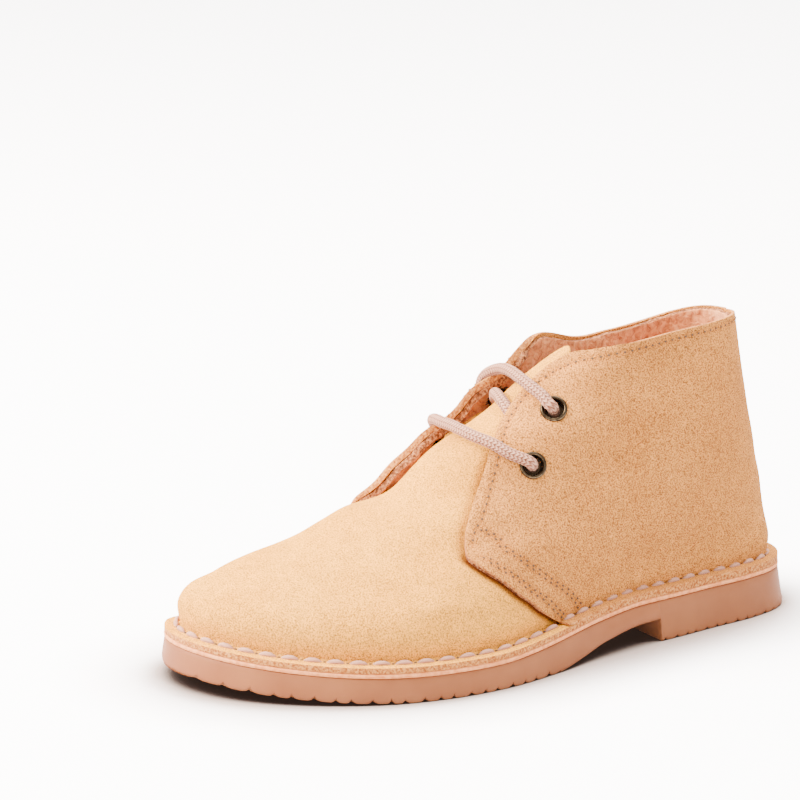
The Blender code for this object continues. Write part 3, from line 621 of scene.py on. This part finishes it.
def collarEar(level, lap):
    turn, side = turnAndSide(lap)
    tall = ease((level - 7.4) / 1.6) * (side < 0)
    return tall * sum(height * np.exp(-(((turn - at) / reach) ** 2)) for at, height, reach in ears)


def facingBulk(level, lap, distance):  # the hide and its lining are thicker along the inner facing
    return np.exp(-((distance / 0.006) ** 2)) * (turnAndSide(lap)[1] < 0) * ease((level - 4.8) / 1.2)


def eyeletPlace(level, side):
    level = np.array(float(level))
    lap = behind(level, side, eyelet["setback"]) * side
    up = facing(level, lap, *eyelet["patch"])
    rise = boot["quarterStep"] + facingWave(level, lap, np.array(eyelet["setback"]))
    return skin(level, lap) + up * rise, up


eyelets = {}
for sideName, s in (("lateral", 1), ("medial", -1)):
    for levelName, level in zip(("lower", "upper"), eyelet["levels"]):
        eyelets[sideName, levelName] = eyeletPlace(level, s)
holes = list(eyelets.values())


def onQuarter(rows, laps, lift):
    distance = fromEdge(rows, laps)
    rise = lift(rows, laps, distance) + facingWave(rows, laps, distance) + creaseLift(rows, laps)
    points = skin(rows, laps) + facing(rows, laps) * rise[..., None]
    points[..., 2] += collarEar(rows, laps)
    return points, distance


def quarterSheet(levels, lift, columns, shrink=0.0):
    u = spread(-1, 1, columns)
    rows = np.array(levels)[:, None] + 0 * u[None]
    inner, outer = behind(np.array(levels), -1, shrink), behind(np.array(levels), 1, shrink)
    laps = np.where(u[None] < 0, u[None] * inner[:, None], u[None] * outer[:, None])
    points, distance = onQuarter(rows, laps, lift)
    return points, rows, laps, distance


def quarterLift(level, lap, distance):
    onFlange = ease((level + 0.45) / 0.35)
    return mixed(boot["flangeStep"], boot["quarterStep"], onFlange)


# rows of stitches: level, then turns behind the front edge, for each of the rows
facingRow = np.array([
    (3.85, .009), (4.2, .011), (4.5, .014), (4.9, .021), (5.6, .024), (6.6, .023), (7.7, .022), (8.1, .028),
    (8.5, .033),
])
pairRows = {
    "front": np.array([(0.12, .010), (1.2, .014), (2.5, .0155), (3.3, .018)]),
    "back": np.array([(0.15, .033), (1.2, .041), (2.5, .043), (3.2, .048), (3.9, .044), (4.45, .026)]),
    "half": 0.0027, "stagger": 0.1,
}
# the collar's row rises from the facing's row: share of its reach, then level
collarRow = {
    "start": 8.5, "behind": 0.033, "reach": 0.085,
    "corner": np.array([(0.0, 8.5), (0.2, 8.65), (0.45, 8.75), (0.7, 8.81), (1.0, 8.86)]),
}


def seamRows():  # points and directions on the quarter's outer face
    rows = []
    for side in (1, -1):
        for table in (pairRows["front"], pairRows["back"]):
            for way in (-1, 1):
                level = spread(table[0, 0], table[-1, 0] - way * pairRows["stagger"], 200)
                turn = edgeLap(level, side) - column(table, 1, level) - way * pairRows["half"]
                rows.append((level, turn * side))
        level = spread(facingRow[0, 0], facingRow[-1, 0], 260)
        rows.append((level, (edgeLap(level, side) - column(facingRow, 1, level)) * side))
    ends = [float(edgeLap(np.array(collarRow["start"]), s)) - collarRow["behind"] for s in (1, -1)]
    lap = spread(-ends[1], ends[0], 900)
    corner = np.minimum(np.minimum(lap + ends[1], ends[0] - lap) / collarRow["reach"], 1)
    rows.append((column(collarRow["corner"], 1, corner), lap))
    return [(onQuarter(level, lap, quarterLift)[0], facing(level, lap)) for level, lap in rows]


def nearness(points, line, reach):  # 1 on a line of points, 0 away from it
    tree = KDTree(len(line))
    for i, place in enumerate(line):
        tree.insert(place, i)
    tree.balance()
    away = np.array([tree.find(p)[2] for p in points.reshape(-1, 3)]).reshape(points.shape[:-1])
    return np.exp(-((away / reach) ** 2))


def uneven(points, level, lap, broad, fine):  # the wall's own swells, 30 mm and 11 mm across
    swell = ripples(points, 0.030, broad) + ripples(points, 0.011, fine, 3)
    return points + facing(level, lap) * swell[..., None] * (level > -0.3)[..., None]


def turnedOut(level, onFlange, onWall):  # a thickness that changes where the wall turns out as the flange
    return np.where(level < 0, mixed(onFlange, onWall, ease((level + 0.6) / 0.6)), onWall)


levels = flangeLevels + list(spread(0, collarLevel, quarter["rows"]))
points, rows, laps, distance = quarterSheet(levels, quarterLift, quarter["columns"])
stitchLines = seamRows()
points = uneven(points, rows, laps, 0.00035, 0.00014)
quarters = loft("quarters", points)
# painted shade: the heel seam and the rows of stitches are painted darker, as if they lay in grooves
heelSeam = np.exp(-((np.abs(np.mod(laps + 1, 2) - 1) * stretchAt(rows, laps) / 0.0009) ** 2))
onWall = (rows > 0.1) * 1.0
stitched = nearness(points, np.concatenate([line[0] for line in stitchLines]), 0.0011)
paint(quarters, "seam", np.maximum(heelSeam, 0.75 * stitched) * onWall)
overlaid = ease(distance / quarter["lap"])
flangeThickness = mixed(boot["flangeStep"], boot["flange"] + boot["flangeStep"], overlaid)
wallThickness = quarter["thickness"] + quarter["bulk"] * facingBulk(rows, laps, distance)
thicken(quarters, turnedOut(rows, flangeThickness, wallThickness), [quarterSuede, cutEdge], holes)
dress(quarters, "suede", "upper")
print("quarters:", len(quarters.data.polygons), "faces")

# vamp: runs under the quarters and carries on up the throat as the tongue
vamp = {
    "columns": 250, "rows": 112, "thickness": 0.0015, "underlap": 0.011, "tip": 9.38, "tipLap": 0.915,
    "drop": 0.9, "dropReach": 0.13, "sink": 0.0024, "innerSink": 0.0032, "press": 0.0012,
}


def vampLaps(levels, columns):
    outer = behind(levels, 1, vamp["underlap"])
    inner = 2 - behind(levels, -1, vamp["underlap"])
    u = spread(0, 1, columns)
    return outer[:, None] + (inner - outer)[:, None] * u[None]


levels = np.array(flangeLevels + list(spread(0, vamp["tip"], vamp["rows"])))
laps = vampLaps(np.minimum(levels, 8.2), vamp["columns"])
rows = levels[:, None] + 0 * laps
distance = fromEdge(np.minimum(rows, 9), laps)
under = ease((distance + 0.001) / 0.004)
towardInner = ease((laps - 0.80) / 0.45)  # the tongue lies lower on its inner side
sink = (vamp["sink"] + vamp["innerSink"] * towardInner) * ease((rows - 5.0) / 1.3)
overlaid = ease(distance / quarter["lap"])
tucked = np.where(rows < -0.1, boot["flange"] * overlaid, 0.00025 * under)
pressed = vamp["press"] * np.exp(-((distance / 0.003) ** 2)) * (rows > 0.2)
rise = -sink - tucked - pressed + creaseLift(rows, laps)
drop = vamp["drop"] * (1 - np.exp(-(((laps - vamp["tipLap"]) / vamp["dropReach"]) ** 2)))
rows = rows - drop * ease((rows - 7.9) / (vamp["tip"] - 7.9))  # a rounded point, off to the outer side
points = skin(rows, laps) + facing(np.minimum(rows, 9), laps) * rise[..., None]
points = uneven(points, np.minimum(rows, 9), laps, 0.00030, 0.00010)
vampPiece = loft("vampAndTongue", points)
shadowReach = mixed(0.0022, 0.0012, ease((rows - 3.4) / 0.6))  # painted shadow, dark where the quarter's edge overhangs
shadow = np.exp(-((np.minimum(distance + 0.0005, 0) / shadowReach) ** 2))
# the vamp's seam attribute is this painted shadow
paint(vampPiece, "seam", shadow * (rows > -0.2) * mixed(1, 0.35, ease((rows - 3.4) / 0.6)))
flangeThickness = np.maximum(boot["flange"] * (1 - overlaid), 0.0002)
thicken(vampPiece, turnedOut(rows, flangeThickness, vamp["thickness"]), [vampSuede, cutEdge])
dress(vampPiece, "suede", "tongue")
print("vamp and tongue:", len(vampPiece.data.polygons), "faces")

# fleece lining inside the quarters
lining = {
    "columns": 200, "rows": 84, "thickness": 0.0016, "bulk": 0.0011, "gap": 0.00008, "shrink": 0.0003,
    "pile": 0.0007, "curls": ((420, 0.6), (160, 0.8)),
}
levels = list(spread(0.3, collarLevel - 0.08, lining["rows"]))


def liningLift(level, lap, distance):  # just inside the quarter's hide
    hide = quarter["thickness"] + quarter["bulk"] * facingBulk(level, lap, distance)
    return boot["quarterStep"] - hide - lining["gap"]


points, rows, laps, distance = quarterSheet(levels, liningLift, lining["columns"], lining["shrink"])
liningPiece = loft("fleeceLining", points)
atFacing = facingBulk(rows, laps, distance)
thicken(liningPiece, lining["thickness"] + lining["bulk"] * atFacing, [fleece, throatCut], holes)
mesh = liningPiece.data
mesh.update()
for vertex in mesh.vertices:
    place = vertex.co
    outward = Vector((place.x + 0.004, place.y - 0.05, 0))  # from the middle of the heel
    if vertex.normal.dot(outward) < 0 or vertex.normal.z > 0.5:
        curl = sum(noise.noise(place * scale) * share for scale, share in lining["curls"])
        vertex.co = place + vertex.normal * (lining["pile"] * curl)
dress(liningPiece, "suede")
print("lining:", len(mesh.polygons), "faces")

# Sole: each layer is one closed loft from its bottom's middle line over its side to its top's middle line


def soleLaps(count):
    return spread(0, 2, count + 1)


def layer(name, laps, rings, material):  # rings of inset, height and how far in towards the middle line
    rows = []
    for inset, height, inwards in rings:
        outer, other = insetAt(laps, inset, height), insetAt(2 - laps, inset, height)
        rows.append(mixed(outer, (outer + other) / 2, inwards))
    piece = loft(name, np.stack(rows), closed=True)
    piece.data.materials.append(material)
    return piece


tread = {
    "forePitch": 0.0060, "heelPitch": 0.0052, "depth": 0.0018, "onHeel": 0.75, "breast": 0.292, "start": 0.5,
    "stations": 1300,
}


def grooveAt(along):  # narrow notches between rounded lugs, a little uneven as moulded
    onHeel = along <= tread["breast"]
    pitch = np.where(onHeel, tread["heelPitch"], tread["forePitch"])
    start = np.where(onHeel, 0.0, tread["start"])
    count = (along - start) * boot["length"] / pitch
    count = count + 0.10 * np.sin(count * 2.1 + 0.7)
    depth = tread["depth"] * np.where(onHeel, tread["onHeel"], 1.0)
    depth = depth * (0.85 + 0.25 * np.sin(np.floor(count) * 2.4))
    shape = np.clip(1 - np.sin(np.pi * np.mod(count, 1)), 0, 1) ** 2.3
    return np.where((along > tread["breast"]) & (along < tread["start"]), 0.0, depth * shape)


laps = turnOf(spread(0, 1, tread["stations"] // 2))
laps = np.unique(np.concatenate([laps, spread(0, 1, 260)]))
laps = np.concatenate([laps, 2 - laps[::-1][1:]])
along = shareOf(turnAndSide(laps)[0])
ground, top, flare, notch = groundAt(along), rubberAt(along), flareAt(along), grooveAt(along)
foot = ground + 0.003
rings = [
    (0.0, ground + 0.25 * notch, 1.0), (0.0, ground + 0.25 * notch, 0.75), (0.0, ground + 0.30 * notch, 0.5),
    (0.0, ground + 0.6 * notch, 0.25), (0.0, ground + 0.9 * notch, 0.10), (0.0006, ground + notch, 0.0),
    (0.0001, ground + 0.0004 + 0.95 * notch, 0.0), (0.0, ground + 0.0012 + 0.7 * notch, 0.0),
    (flare * 0.15, foot, 0.0), (flare * 0.45, mixed(foot, top, 0.35), 0.0),
    (flare * 0.75, mixed(foot, top, 0.70), 0.0), (flare * 0.97, top - 0.0004, 0.0),
    (flare + 0.0003, top, 0.0), (flare + 0.004, top, 0.0), (flare + 0.004, top, 1.0),
]
outsole = layer("rippleOutsole", laps, rings, rubber)
dress(outsole, "rubber", "outsole")
print("outsole:", len(outsole.data.polygons), "faces")

laps = soleLaps(420)
along = shareOf(turnAndSide(laps)[0])
flare, low, top = flareAt(along), rubberAt(along) + boot["gap"] / 2, stripTopAt(along) + boot["gap"] / 2
rings = [
    (flare, low, 1.0), (flare + 0.0003, low, 0.0), (flare - 0.0001, low + 0.0003, 0.0),
    (flare - 0.0002, (low + top) / 2, 0.0), (flare - 0.0001, top - 0.0003, 0.0),
    (flare + 0.0003, top, 0.0), (flare, top, 1.0),
]
dress(layer("midsoleStrip", laps, rings, strip), "midsole_rubber", "midsole")

laps = soleLaps(240)
along = shareOf(turnAndSide(laps)[0])
inset, low = flareAt(along) + boot["flangeWidth"] + boot["wall"] + 0.0008, stripTopAt(along) + boot["gap"]
rings = [
    (inset, low, 1.0), (inset, low, 0.0), (inset, low + 0.0022, 0.0),
    (inset + 0.0006, low + boot["insole"], 0.0), (inset, low + 0.0031, 0.25),
    (inset, low + 0.0031, 0.6), (inset, low + 0.0031, 1.0),
]
dress(layer("insoleSock", laps, rings, fleece), "insole_sock", "insole")
print("sole layers ready")

# Thread: one stitch is modelled, then copied along its row


def stitchModel(length, width, height, droop):  # an oval loop of thread, its ends going down into the hide
    bpy.ops.mesh.primitive_uv_sphere_add(segments=10, ring_count=7, radius=1)
    model = bpy.context.object
    quarterTurn = {"value": math.pi / 2, "orient_axis": "Y", "center_override": (0, 0, 0)}
    edited((bpy.ops.transform.rotate, quarterTurn))
    verts = np.array([v.co for v in model.data.vertices])
    verts[:, 0] = np.sign(verts[:, 0]) * np.abs(verts[:, 0]) ** 0.85 * length / 2
    verts[:, 1] *= width / 2
    verts[:, 2] = verts[:, 2] * height / 2 - droop * (verts[:, 0] / (length / 2)) ** 2
    faces = [tuple(p.vertices) for p in model.data.polygons]
    uv = np.array([tuple(loop.uv) for loop in model.data.uv_layers.active.data])
    bpy.data.objects.remove(model, do_unlink=True)
    return verts, faces, uv


def copies(name, model, places, runs, ups, material):  # the model at each place, X along the run and Z up
    verts, faces, uv = model
    allVerts, allFaces = [], []
    for i, (place, run, up) in enumerate(zip(places, runs, ups)):
        run = run / np.linalg.norm(run)
        up = unit(up - run * np.dot(up, run))
        across = np.cross(up, run)
        allVerts.append(place + verts @ np.stack([run, across, up]))
        allFaces += [tuple(v + i * len(verts) for v in face) for face in faces]
    mesh = bpy.data.meshes.new(name)
    mesh.from_pydata(np.concatenate(allVerts).tolist(), [], allFaces)
    mesh.uv_layers.new(name="UVMap").data.foreach_set("uv", np.tile(uv, (len(places), 1)).reshape(-1))
    mesh.materials.append(material)
    piece = bpy.data.objects.new(name, mesh)
    bpy.context.collection.objects.link(piece)
    return piece


def evenly(places, ups, pitch, start=0.5):  # points a pitch apart along a path, with directions
    steps = np.linalg.norm(np.diff(places, axis=0), axis=1)
    run = np.concatenate([[0], np.cumsum(steps)])
    count = max(2, int(round(run[-1] / pitch)))
    at = (np.arange(count) + start) * run[-1] / count
    sample = lambda values, s: np.stack([np.interp(s, run, values[:, k]) for k in range(3)], -1)
    here = sample(places, at)
    before, after = np.maximum(at - pitch * 0.3, 0), np.minimum(at + pitch * 0.3, run[-1])
    return here, sample(places, after) - sample(places, before), unit(sample(ups, at))


def sewn(name, sizes, runs, thread):  # stitches, with a dark oval between each two as the painted shade of a pricked hole
    places, ahead, ups = [np.concatenate([run[k] for run in runs]) for k in range(3)]
    loop = stitchModel(sizes["length"], sizes["width"], sizes["height"], sizes["droop"])
    loops = copies(f"{name}Stitches", loop, places - ups * sizes["sunk"], ahead, ups, thread)
    dress(loops, "lace_cord")
    # the holes are not cut: a flat dark oval on the surface is their painted shade
    ends = places + unit(ahead) * sizes["pitch"] / 2 + ups * sizes["pitRise"]
    dress(copies(f"{name}Holes", stitchModel(*sizes["pit"]), ends, ahead, ups, holeShade), "suede")
    print(f"{name}:", len(places), "stitches")


welt = {
    "pitch": 0.0081, "length": 0.0070, "width": 0.0019, "height": 0.0021, "droop": 0.0011, "inset": 0.0042,
    "sunk": 0.0, "pit": (0.0011, 0.0009, 0.0004, 0.0), "pitRise": -0.0005, "proud": 0.0006, "clear": 0.002,
}


def weltPath(first, last, lift):
    laps = spread(first, last, 500)
    share = shareOf(turnAndSide(laps)[0])
    places = insetAt(laps, flareAt(share) + welt["inset"], flangeTopAt(share) + lift + welt["proud"])
    outward = insetAt(laps, 0.0, 0.0) - insetAt(laps, 0.01, 0.0)
    return places, unit(unit(outward) * 0.55 + np.array([0, 0, 1.0]))


outer, inner = [float(edgeLap(np.array(0.0), s)) for s in (1, -1)]
clear = welt["clear"]
runs = [
    evenly(*weltPath(-inner + clear, outer - clear, boot["flangeStep"]), welt["pitch"]),
    evenly(*weltPath(outer + clear, 2 - inner - clear, 0.0), welt["pitch"]),
]
sewn("welt", welt, runs, weltThread)

# rows of fine stitches on the quarters
seam = {
    "pitch": 0.0031, "length": 0.0024, "width": 0.0007, "height": 0.0005, "droop": 0.0003, "sunk": 0.00022,
    "pit": (0.0010, 0.0008, 0.0006, 0.0), "pitRise": 0.0001,
}
runs = [evenly(*line, seam["pitch"], 0.3 + 0.5 * (i % 2)) for i, line in enumerate(stitchLines)]
sewn("seam", seam, runs, seamThread)

# Eyelets: a lip, a barrel and a clinched back, spun about the eyelet's axis


def makeEyelet(name, place, axis):
    bore, rim, seat, lip = eyelet["bore"] / 2, eyelet["outer"] / 2, eyelet["seat"], eyelet["rim"]
    barrel, depth = eyelet["barrel"], boot["wall"] + boot["quarterStep"] + 2 * seat
    foot, back = seat - 0.0004, rim - eyelet["clinch"]
    profile = [  # radius and height, from a dark disc across the bore, painted shade for the inside of the hole, out over the lip to the clinched back
        (0.0002, -0.7 * depth), (bore - 0.0002, -0.7 * depth), (bore - 0.0001, -0.4 * depth),
        (bore, seat + 0.1 * lip),
    ]
    for k in range(eyelet["beadSteps"] + 1):
        angle = math.pi * (0.96 - k / eyelet["beadSteps"] * 0.98)
        reach = (bore + rim) / 2 + (rim - bore) / 2 * math.cos(angle)
        profile.append((reach, foot + lip * math.sin(angle) ** 0.8 if angle > 0 else foot))
    profile += [
        (barrel, foot), (barrel, -depth), (back, -depth - 0.0001), (back - 0.0001, -depth - 0.0004),
        (bore, -depth - 0.0005), (bore, -0.8 * depth), (0.0002, -0.8 * depth),
    ]
    turns = spread(0, 2 * math.pi, eyelet["steps"] + 1)[:, None]
    frameZ = np.array(axis)
    frameX = unit(np.cross(frameZ, [0.0, 1.0, 0.3]))
    spokes = np.cos(turns) * frameX + np.sin(turns) * np.cross(frameZ, frameX)
    points = np.stack([place + r * spokes + h * frameZ for r, h in profile + profile[:1]])
    piece = loft(name, points, closed=True)
    piece.data.materials.append(brass)
    piece.data.materials.append(holeShade)
    # the discs across the bore take the dark hole colour: painted shade that fills the eyelet behind the lace
    for face in piece.data.polygons:
        off = np.array(face.center) - place
        if np.linalg.norm(off - axis * np.dot(off, axis)) < 0.8 * bore:
            face.material_index = 1
    return piece


for (sideName, levelName), (place, axis) in eyelets.items():
    made = makeEyelet(f"eyelet{sideName.title()}{levelName.title()}", place, axis)
    dress(made, "antique_brass", f"eyelet_{sideName}_{levelName}")
print("eyelets ready")

# Lace: one braided cord, in at the inner lower eyelet's back, over and under the throat, hidden at its ends
lace = {
    "diameter": 0.0043, "columns": 7, "cell": 0.0015, "chevron": 0.65, "relief": 0.00034, "around": 42,
    "step": 0.0004, "lean": 0.0010, "depths": (-0.0075, -0.0022, 0.0014),
}
# over the throat: level, lap, height of the cord's middle over the skin in mm
lowerBar = [
    (6.50, 0.682, 3.3), (6.71, 0.726, 3.1), (6.98, 0.783, 3.1), (7.18, 0.845, 2.9), (7.36, 0.91, 2.4),
    (7.46, 0.97, 2.0), (7.46, 1.03, 2.0), (7.40, 1.09, 2.4), (7.24, 1.15, 3.3), (7.05, 1.20, 4.1),
    (6.85, 1.235, 4.0), (6.62, 1.26, 3.6),
]
strand = [
    (7.98, 1.24, -4.6), (8.2, 1.17, -4.8), (8.34, 1.09, -3.6), (8.37, 1.02, -1.2), (8.25, 0.94, -0.3),
    (8.02, 0.868, -0.7), (7.72, 0.81, -3.0), (7.25, 0.75, -5.2), (6.75, 0.69, -5.8),
]
upperBar = [
    (7.90, 0.737, 3.2), (8.10, 0.768, 3.2), (8.30, 0.815, 3.1), (8.44, 0.857, 3.0), (8.56, 0.905, 2.9),
    (8.65, 0.955, 2.8), (8.69, 1.01, 2.9), (8.66, 1.06, 3.3), (8.54, 1.11, 4.0), (8.36, 1.16, 4.6),
    (8.14, 1.20, 4.6), (7.96, 1.24, 3.9),
]


def overThroat(rows):
    level, lap, height = np.array(rows).T
    up = facing(np.minimum(level, 8.5), lap, *eyelet["patch"])
    return list(skin(level, lap) + up * height[:, None] / 1000)


# from inside the boot to the lip, leaning to the throat's side of the hole
def throughEyelet(sideName, levelName, toward):
    place, axis = eyelets[sideName, levelName]
    lean = unit(toward - place)
    lean = unit(lean - axis * np.dot(lean, axis)) * lace["lean"]
    inside, bore, lip = lace["depths"]
    return [place + axis * inside - lean, place + axis * bore, place + lean * 0.8 + axis * lip]


lowOver, highOver, under = overThroat(lowerBar), overThroat(upperBar), overThroat(strand)
innerLow = throughEyelet("medial", "lower", lowOver[-1])
innerHigh = throughEyelet("medial", "upper", highOver[-1])
outerLow = throughEyelet("lateral", "lower", lowOver[0])
outerHigh = throughEyelet("lateral", "upper", highOver[0])
knots = innerLow + lowOver[::-1] + outerLow[::-1] + under[::-1]
knots = np.array(knots + innerHigh + highOver[::-1] + outerHigh[::-1])


def flowing(knots, step):  # an even run of points on a smooth curve
    padded = np.concatenate([[2 * knots[0] - knots[1]], knots, [2 * knots[-1] - knots[-2]]])
    path = []
    for a, b, c, d in zip(padded, padded[1:], padded[2:], padded[3:]):
        t = spread(0, 1, 12)[:-1, None]
        square, cube = 2 * a - 5 * b + 4 * c - d, 3 * b - a - 3 * c + d
        path.append((2 * b + (c - a) * t + square * t * t + cube * t**3) / 2)
    path = np.concatenate(path + [knots[-1:]])
    for _ in range(3):
        path[1:-1] = (path[:-2] + 2 * path[1:-1] + path[2:]) / 4
    run = np.concatenate([[0], np.cumsum(np.linalg.norm(np.diff(path, axis=0), axis=1))])
    at = spread(0, run[-1], int(run[-1] / step))
    return np.stack([np.interp(at, run, path[:, k]) for k in range(3)], -1), at


path, along = flowing(knots, lace["step"])
run = unit(np.gradient(path, axis=0))
across = np.zeros_like(path)
across[0] = unit(np.cross(run[0], [0.2, 0.5, 1.0]))
for i in range(1, len(path)):
    across[i] = unit(across[i - 1] - run[i] * np.dot(across[i - 1], run[i]))
side = np.cross(run, across)
angle = spread(0, 2 * math.pi, lace["around"] + 1)
# the braid reads as columns of chevrons
braidColumn = lace["columns"] * angle[None] / (2 * math.pi) + 0 * along[:, None]
fromMiddle = np.abs(2 * np.mod(braidColumn, 1) - 1)
phase = along[:, None] / lace["cell"] + lace["chevron"] * fromMiddle
hump = (1 - (2 * np.mod(phase, 1) - 1) ** 2) * (1 - 0.45 * fromMiddle**8)
radius = lace["diameter"] / 2 + lace["relief"] * (np.sqrt(np.clip(hump, 0, 1)) - 0.8)
angle = angle[None, :, None]
spokes = np.cos(angle) * across[:, None] + np.sin(angle) * side[:, None]
lacePiece = loft("lace", path[:, None] + radius[..., None] * spokes)
# the braid's height, painted as shade and highlight by the cord's material
paint(lacePiece, "braid", hump)
activate(lacePiece)
edited(  # the tube's seam is merged and its two ends are closed
    (bpy.ops.mesh.remove_doubles, {"threshold": 0.00001}),
    (bpy.ops.mesh.select_all, {"action": "DESELECT"}),
    (bpy.ops.mesh.select_non_manifold, {}),
    (bpy.ops.mesh.edge_face_add, {}),
    (bpy.ops.mesh.select_all, {"action": "SELECT"}),
    (bpy.ops.mesh.normals_make_consistent, {"inside": False}),
)
lacePiece.data.materials.append(cotton)
dress(lacePiece, "lace_cord", "lace_bars")
print("lace:", round(float(along[-1]), 3), "m")

# Floor, light and camera

bpy.ops.mesh.primitive_plane_add(size=60, location=(0, 0, 0))
floor = bpy.context.object
floor.name = "floor"
paper, tree, shader, place = surface("studioPaper", {
    "Roughness": 0.95, "Specular IOR Level": 0.05, "Emission Strength": 4.0,
})
# the paper glows with its own light, which would drown the shade under the sole, so a painted contact shadow,
# from nearness to the boot, darkens its glow and colour there
near = node(tree, "AmbientOcclusion", {"samples": 12, "Distance": 0.045}).outputs["AO"]
shaded = layered(tree, [(near, [(0.3, "#140D0A"), (0.7, "#8C7B72"), (0.98, "#FFFBFA")])])
for socket in ("Emission Color", "Base Color"):
    tree.links.new(shaded, shader.inputs[socket])
floor.data.materials.append(paper)
floor.visible_diffuse = floor.visible_shadow = False  # the card below it bounces the light instead
bpy.ops.mesh.primitive_plane_add(size=60, location=(0, 0, -0.0004))
card = bpy.context.object
card.name = "bounceCard"
card.data.materials.append(surface("greyCard", {
    "Base Color": colour("#C2BEBC"), "Roughness": 0.95, "Specular IOR Level": 0.05,
})[0])
card.visible_camera = False

world = bpy.data.worlds.new("studio")
world.use_nodes = True
sky = world.node_tree
height = node(sky, "SeparateXYZ", {}, {"Vector": node(sky, "TexCoord").outputs["Generated"]}).outputs["Z"]
dome = layered(sky, [(height, [(0.0, "#C8C2BC"), (0.08, "#FFFDFB")])])
sky.links.new(dome, sky.nodes["Background"].inputs["Color"])
sky.nodes["Background"].inputs["Strength"].default_value = 2.7
bpy.context.scene.world = world



def aimed(data, place, aim):  # puts a lamp or a camera at a place and turns it to its aim
    made = bpy.data.objects.new(data.name, data)
    made.location = place
    made.rotation_euler = (Vector(aim) - Vector(place)).to_track_quat("-Z", "Y").to_euler()
    bpy.context.collection.objects.link(made)
    return made


lamps = {  # name: place, aim, size, watts, colour
    "key": ((-0.70, -1.52, 1.45), (0.0, -0.03, 0.05), 1.6, 350.0, "#FFF9F2"),
    "top": ((-0.10, 0.30, 2.0), (0.0, 0.0, 0.05), 1.6, 120.0, "#FFFFFF"),
}
for name, (place, aim, size, watts, shade) in lamps.items():
    light = bpy.data.lights.new(name, "AREA")
    light.shape = "DISK"
    light.size = size
    light.energy = watts
    light.color = colour(shade)[:3]
    aimed(light, place, aim)

view = {"place": (0.98288, -0.61204, 0.36849), "aim": (-0.02892, -0.02688, 0.09092), "lens": 145.2}
camera = aimed(bpy.data.cameras.new("camera"), view["place"], view["aim"])
camera.data.lens = view["lens"]
camera.data.sensor_width = 36
bpy.context.scene.camera = camera
print("studio ready")
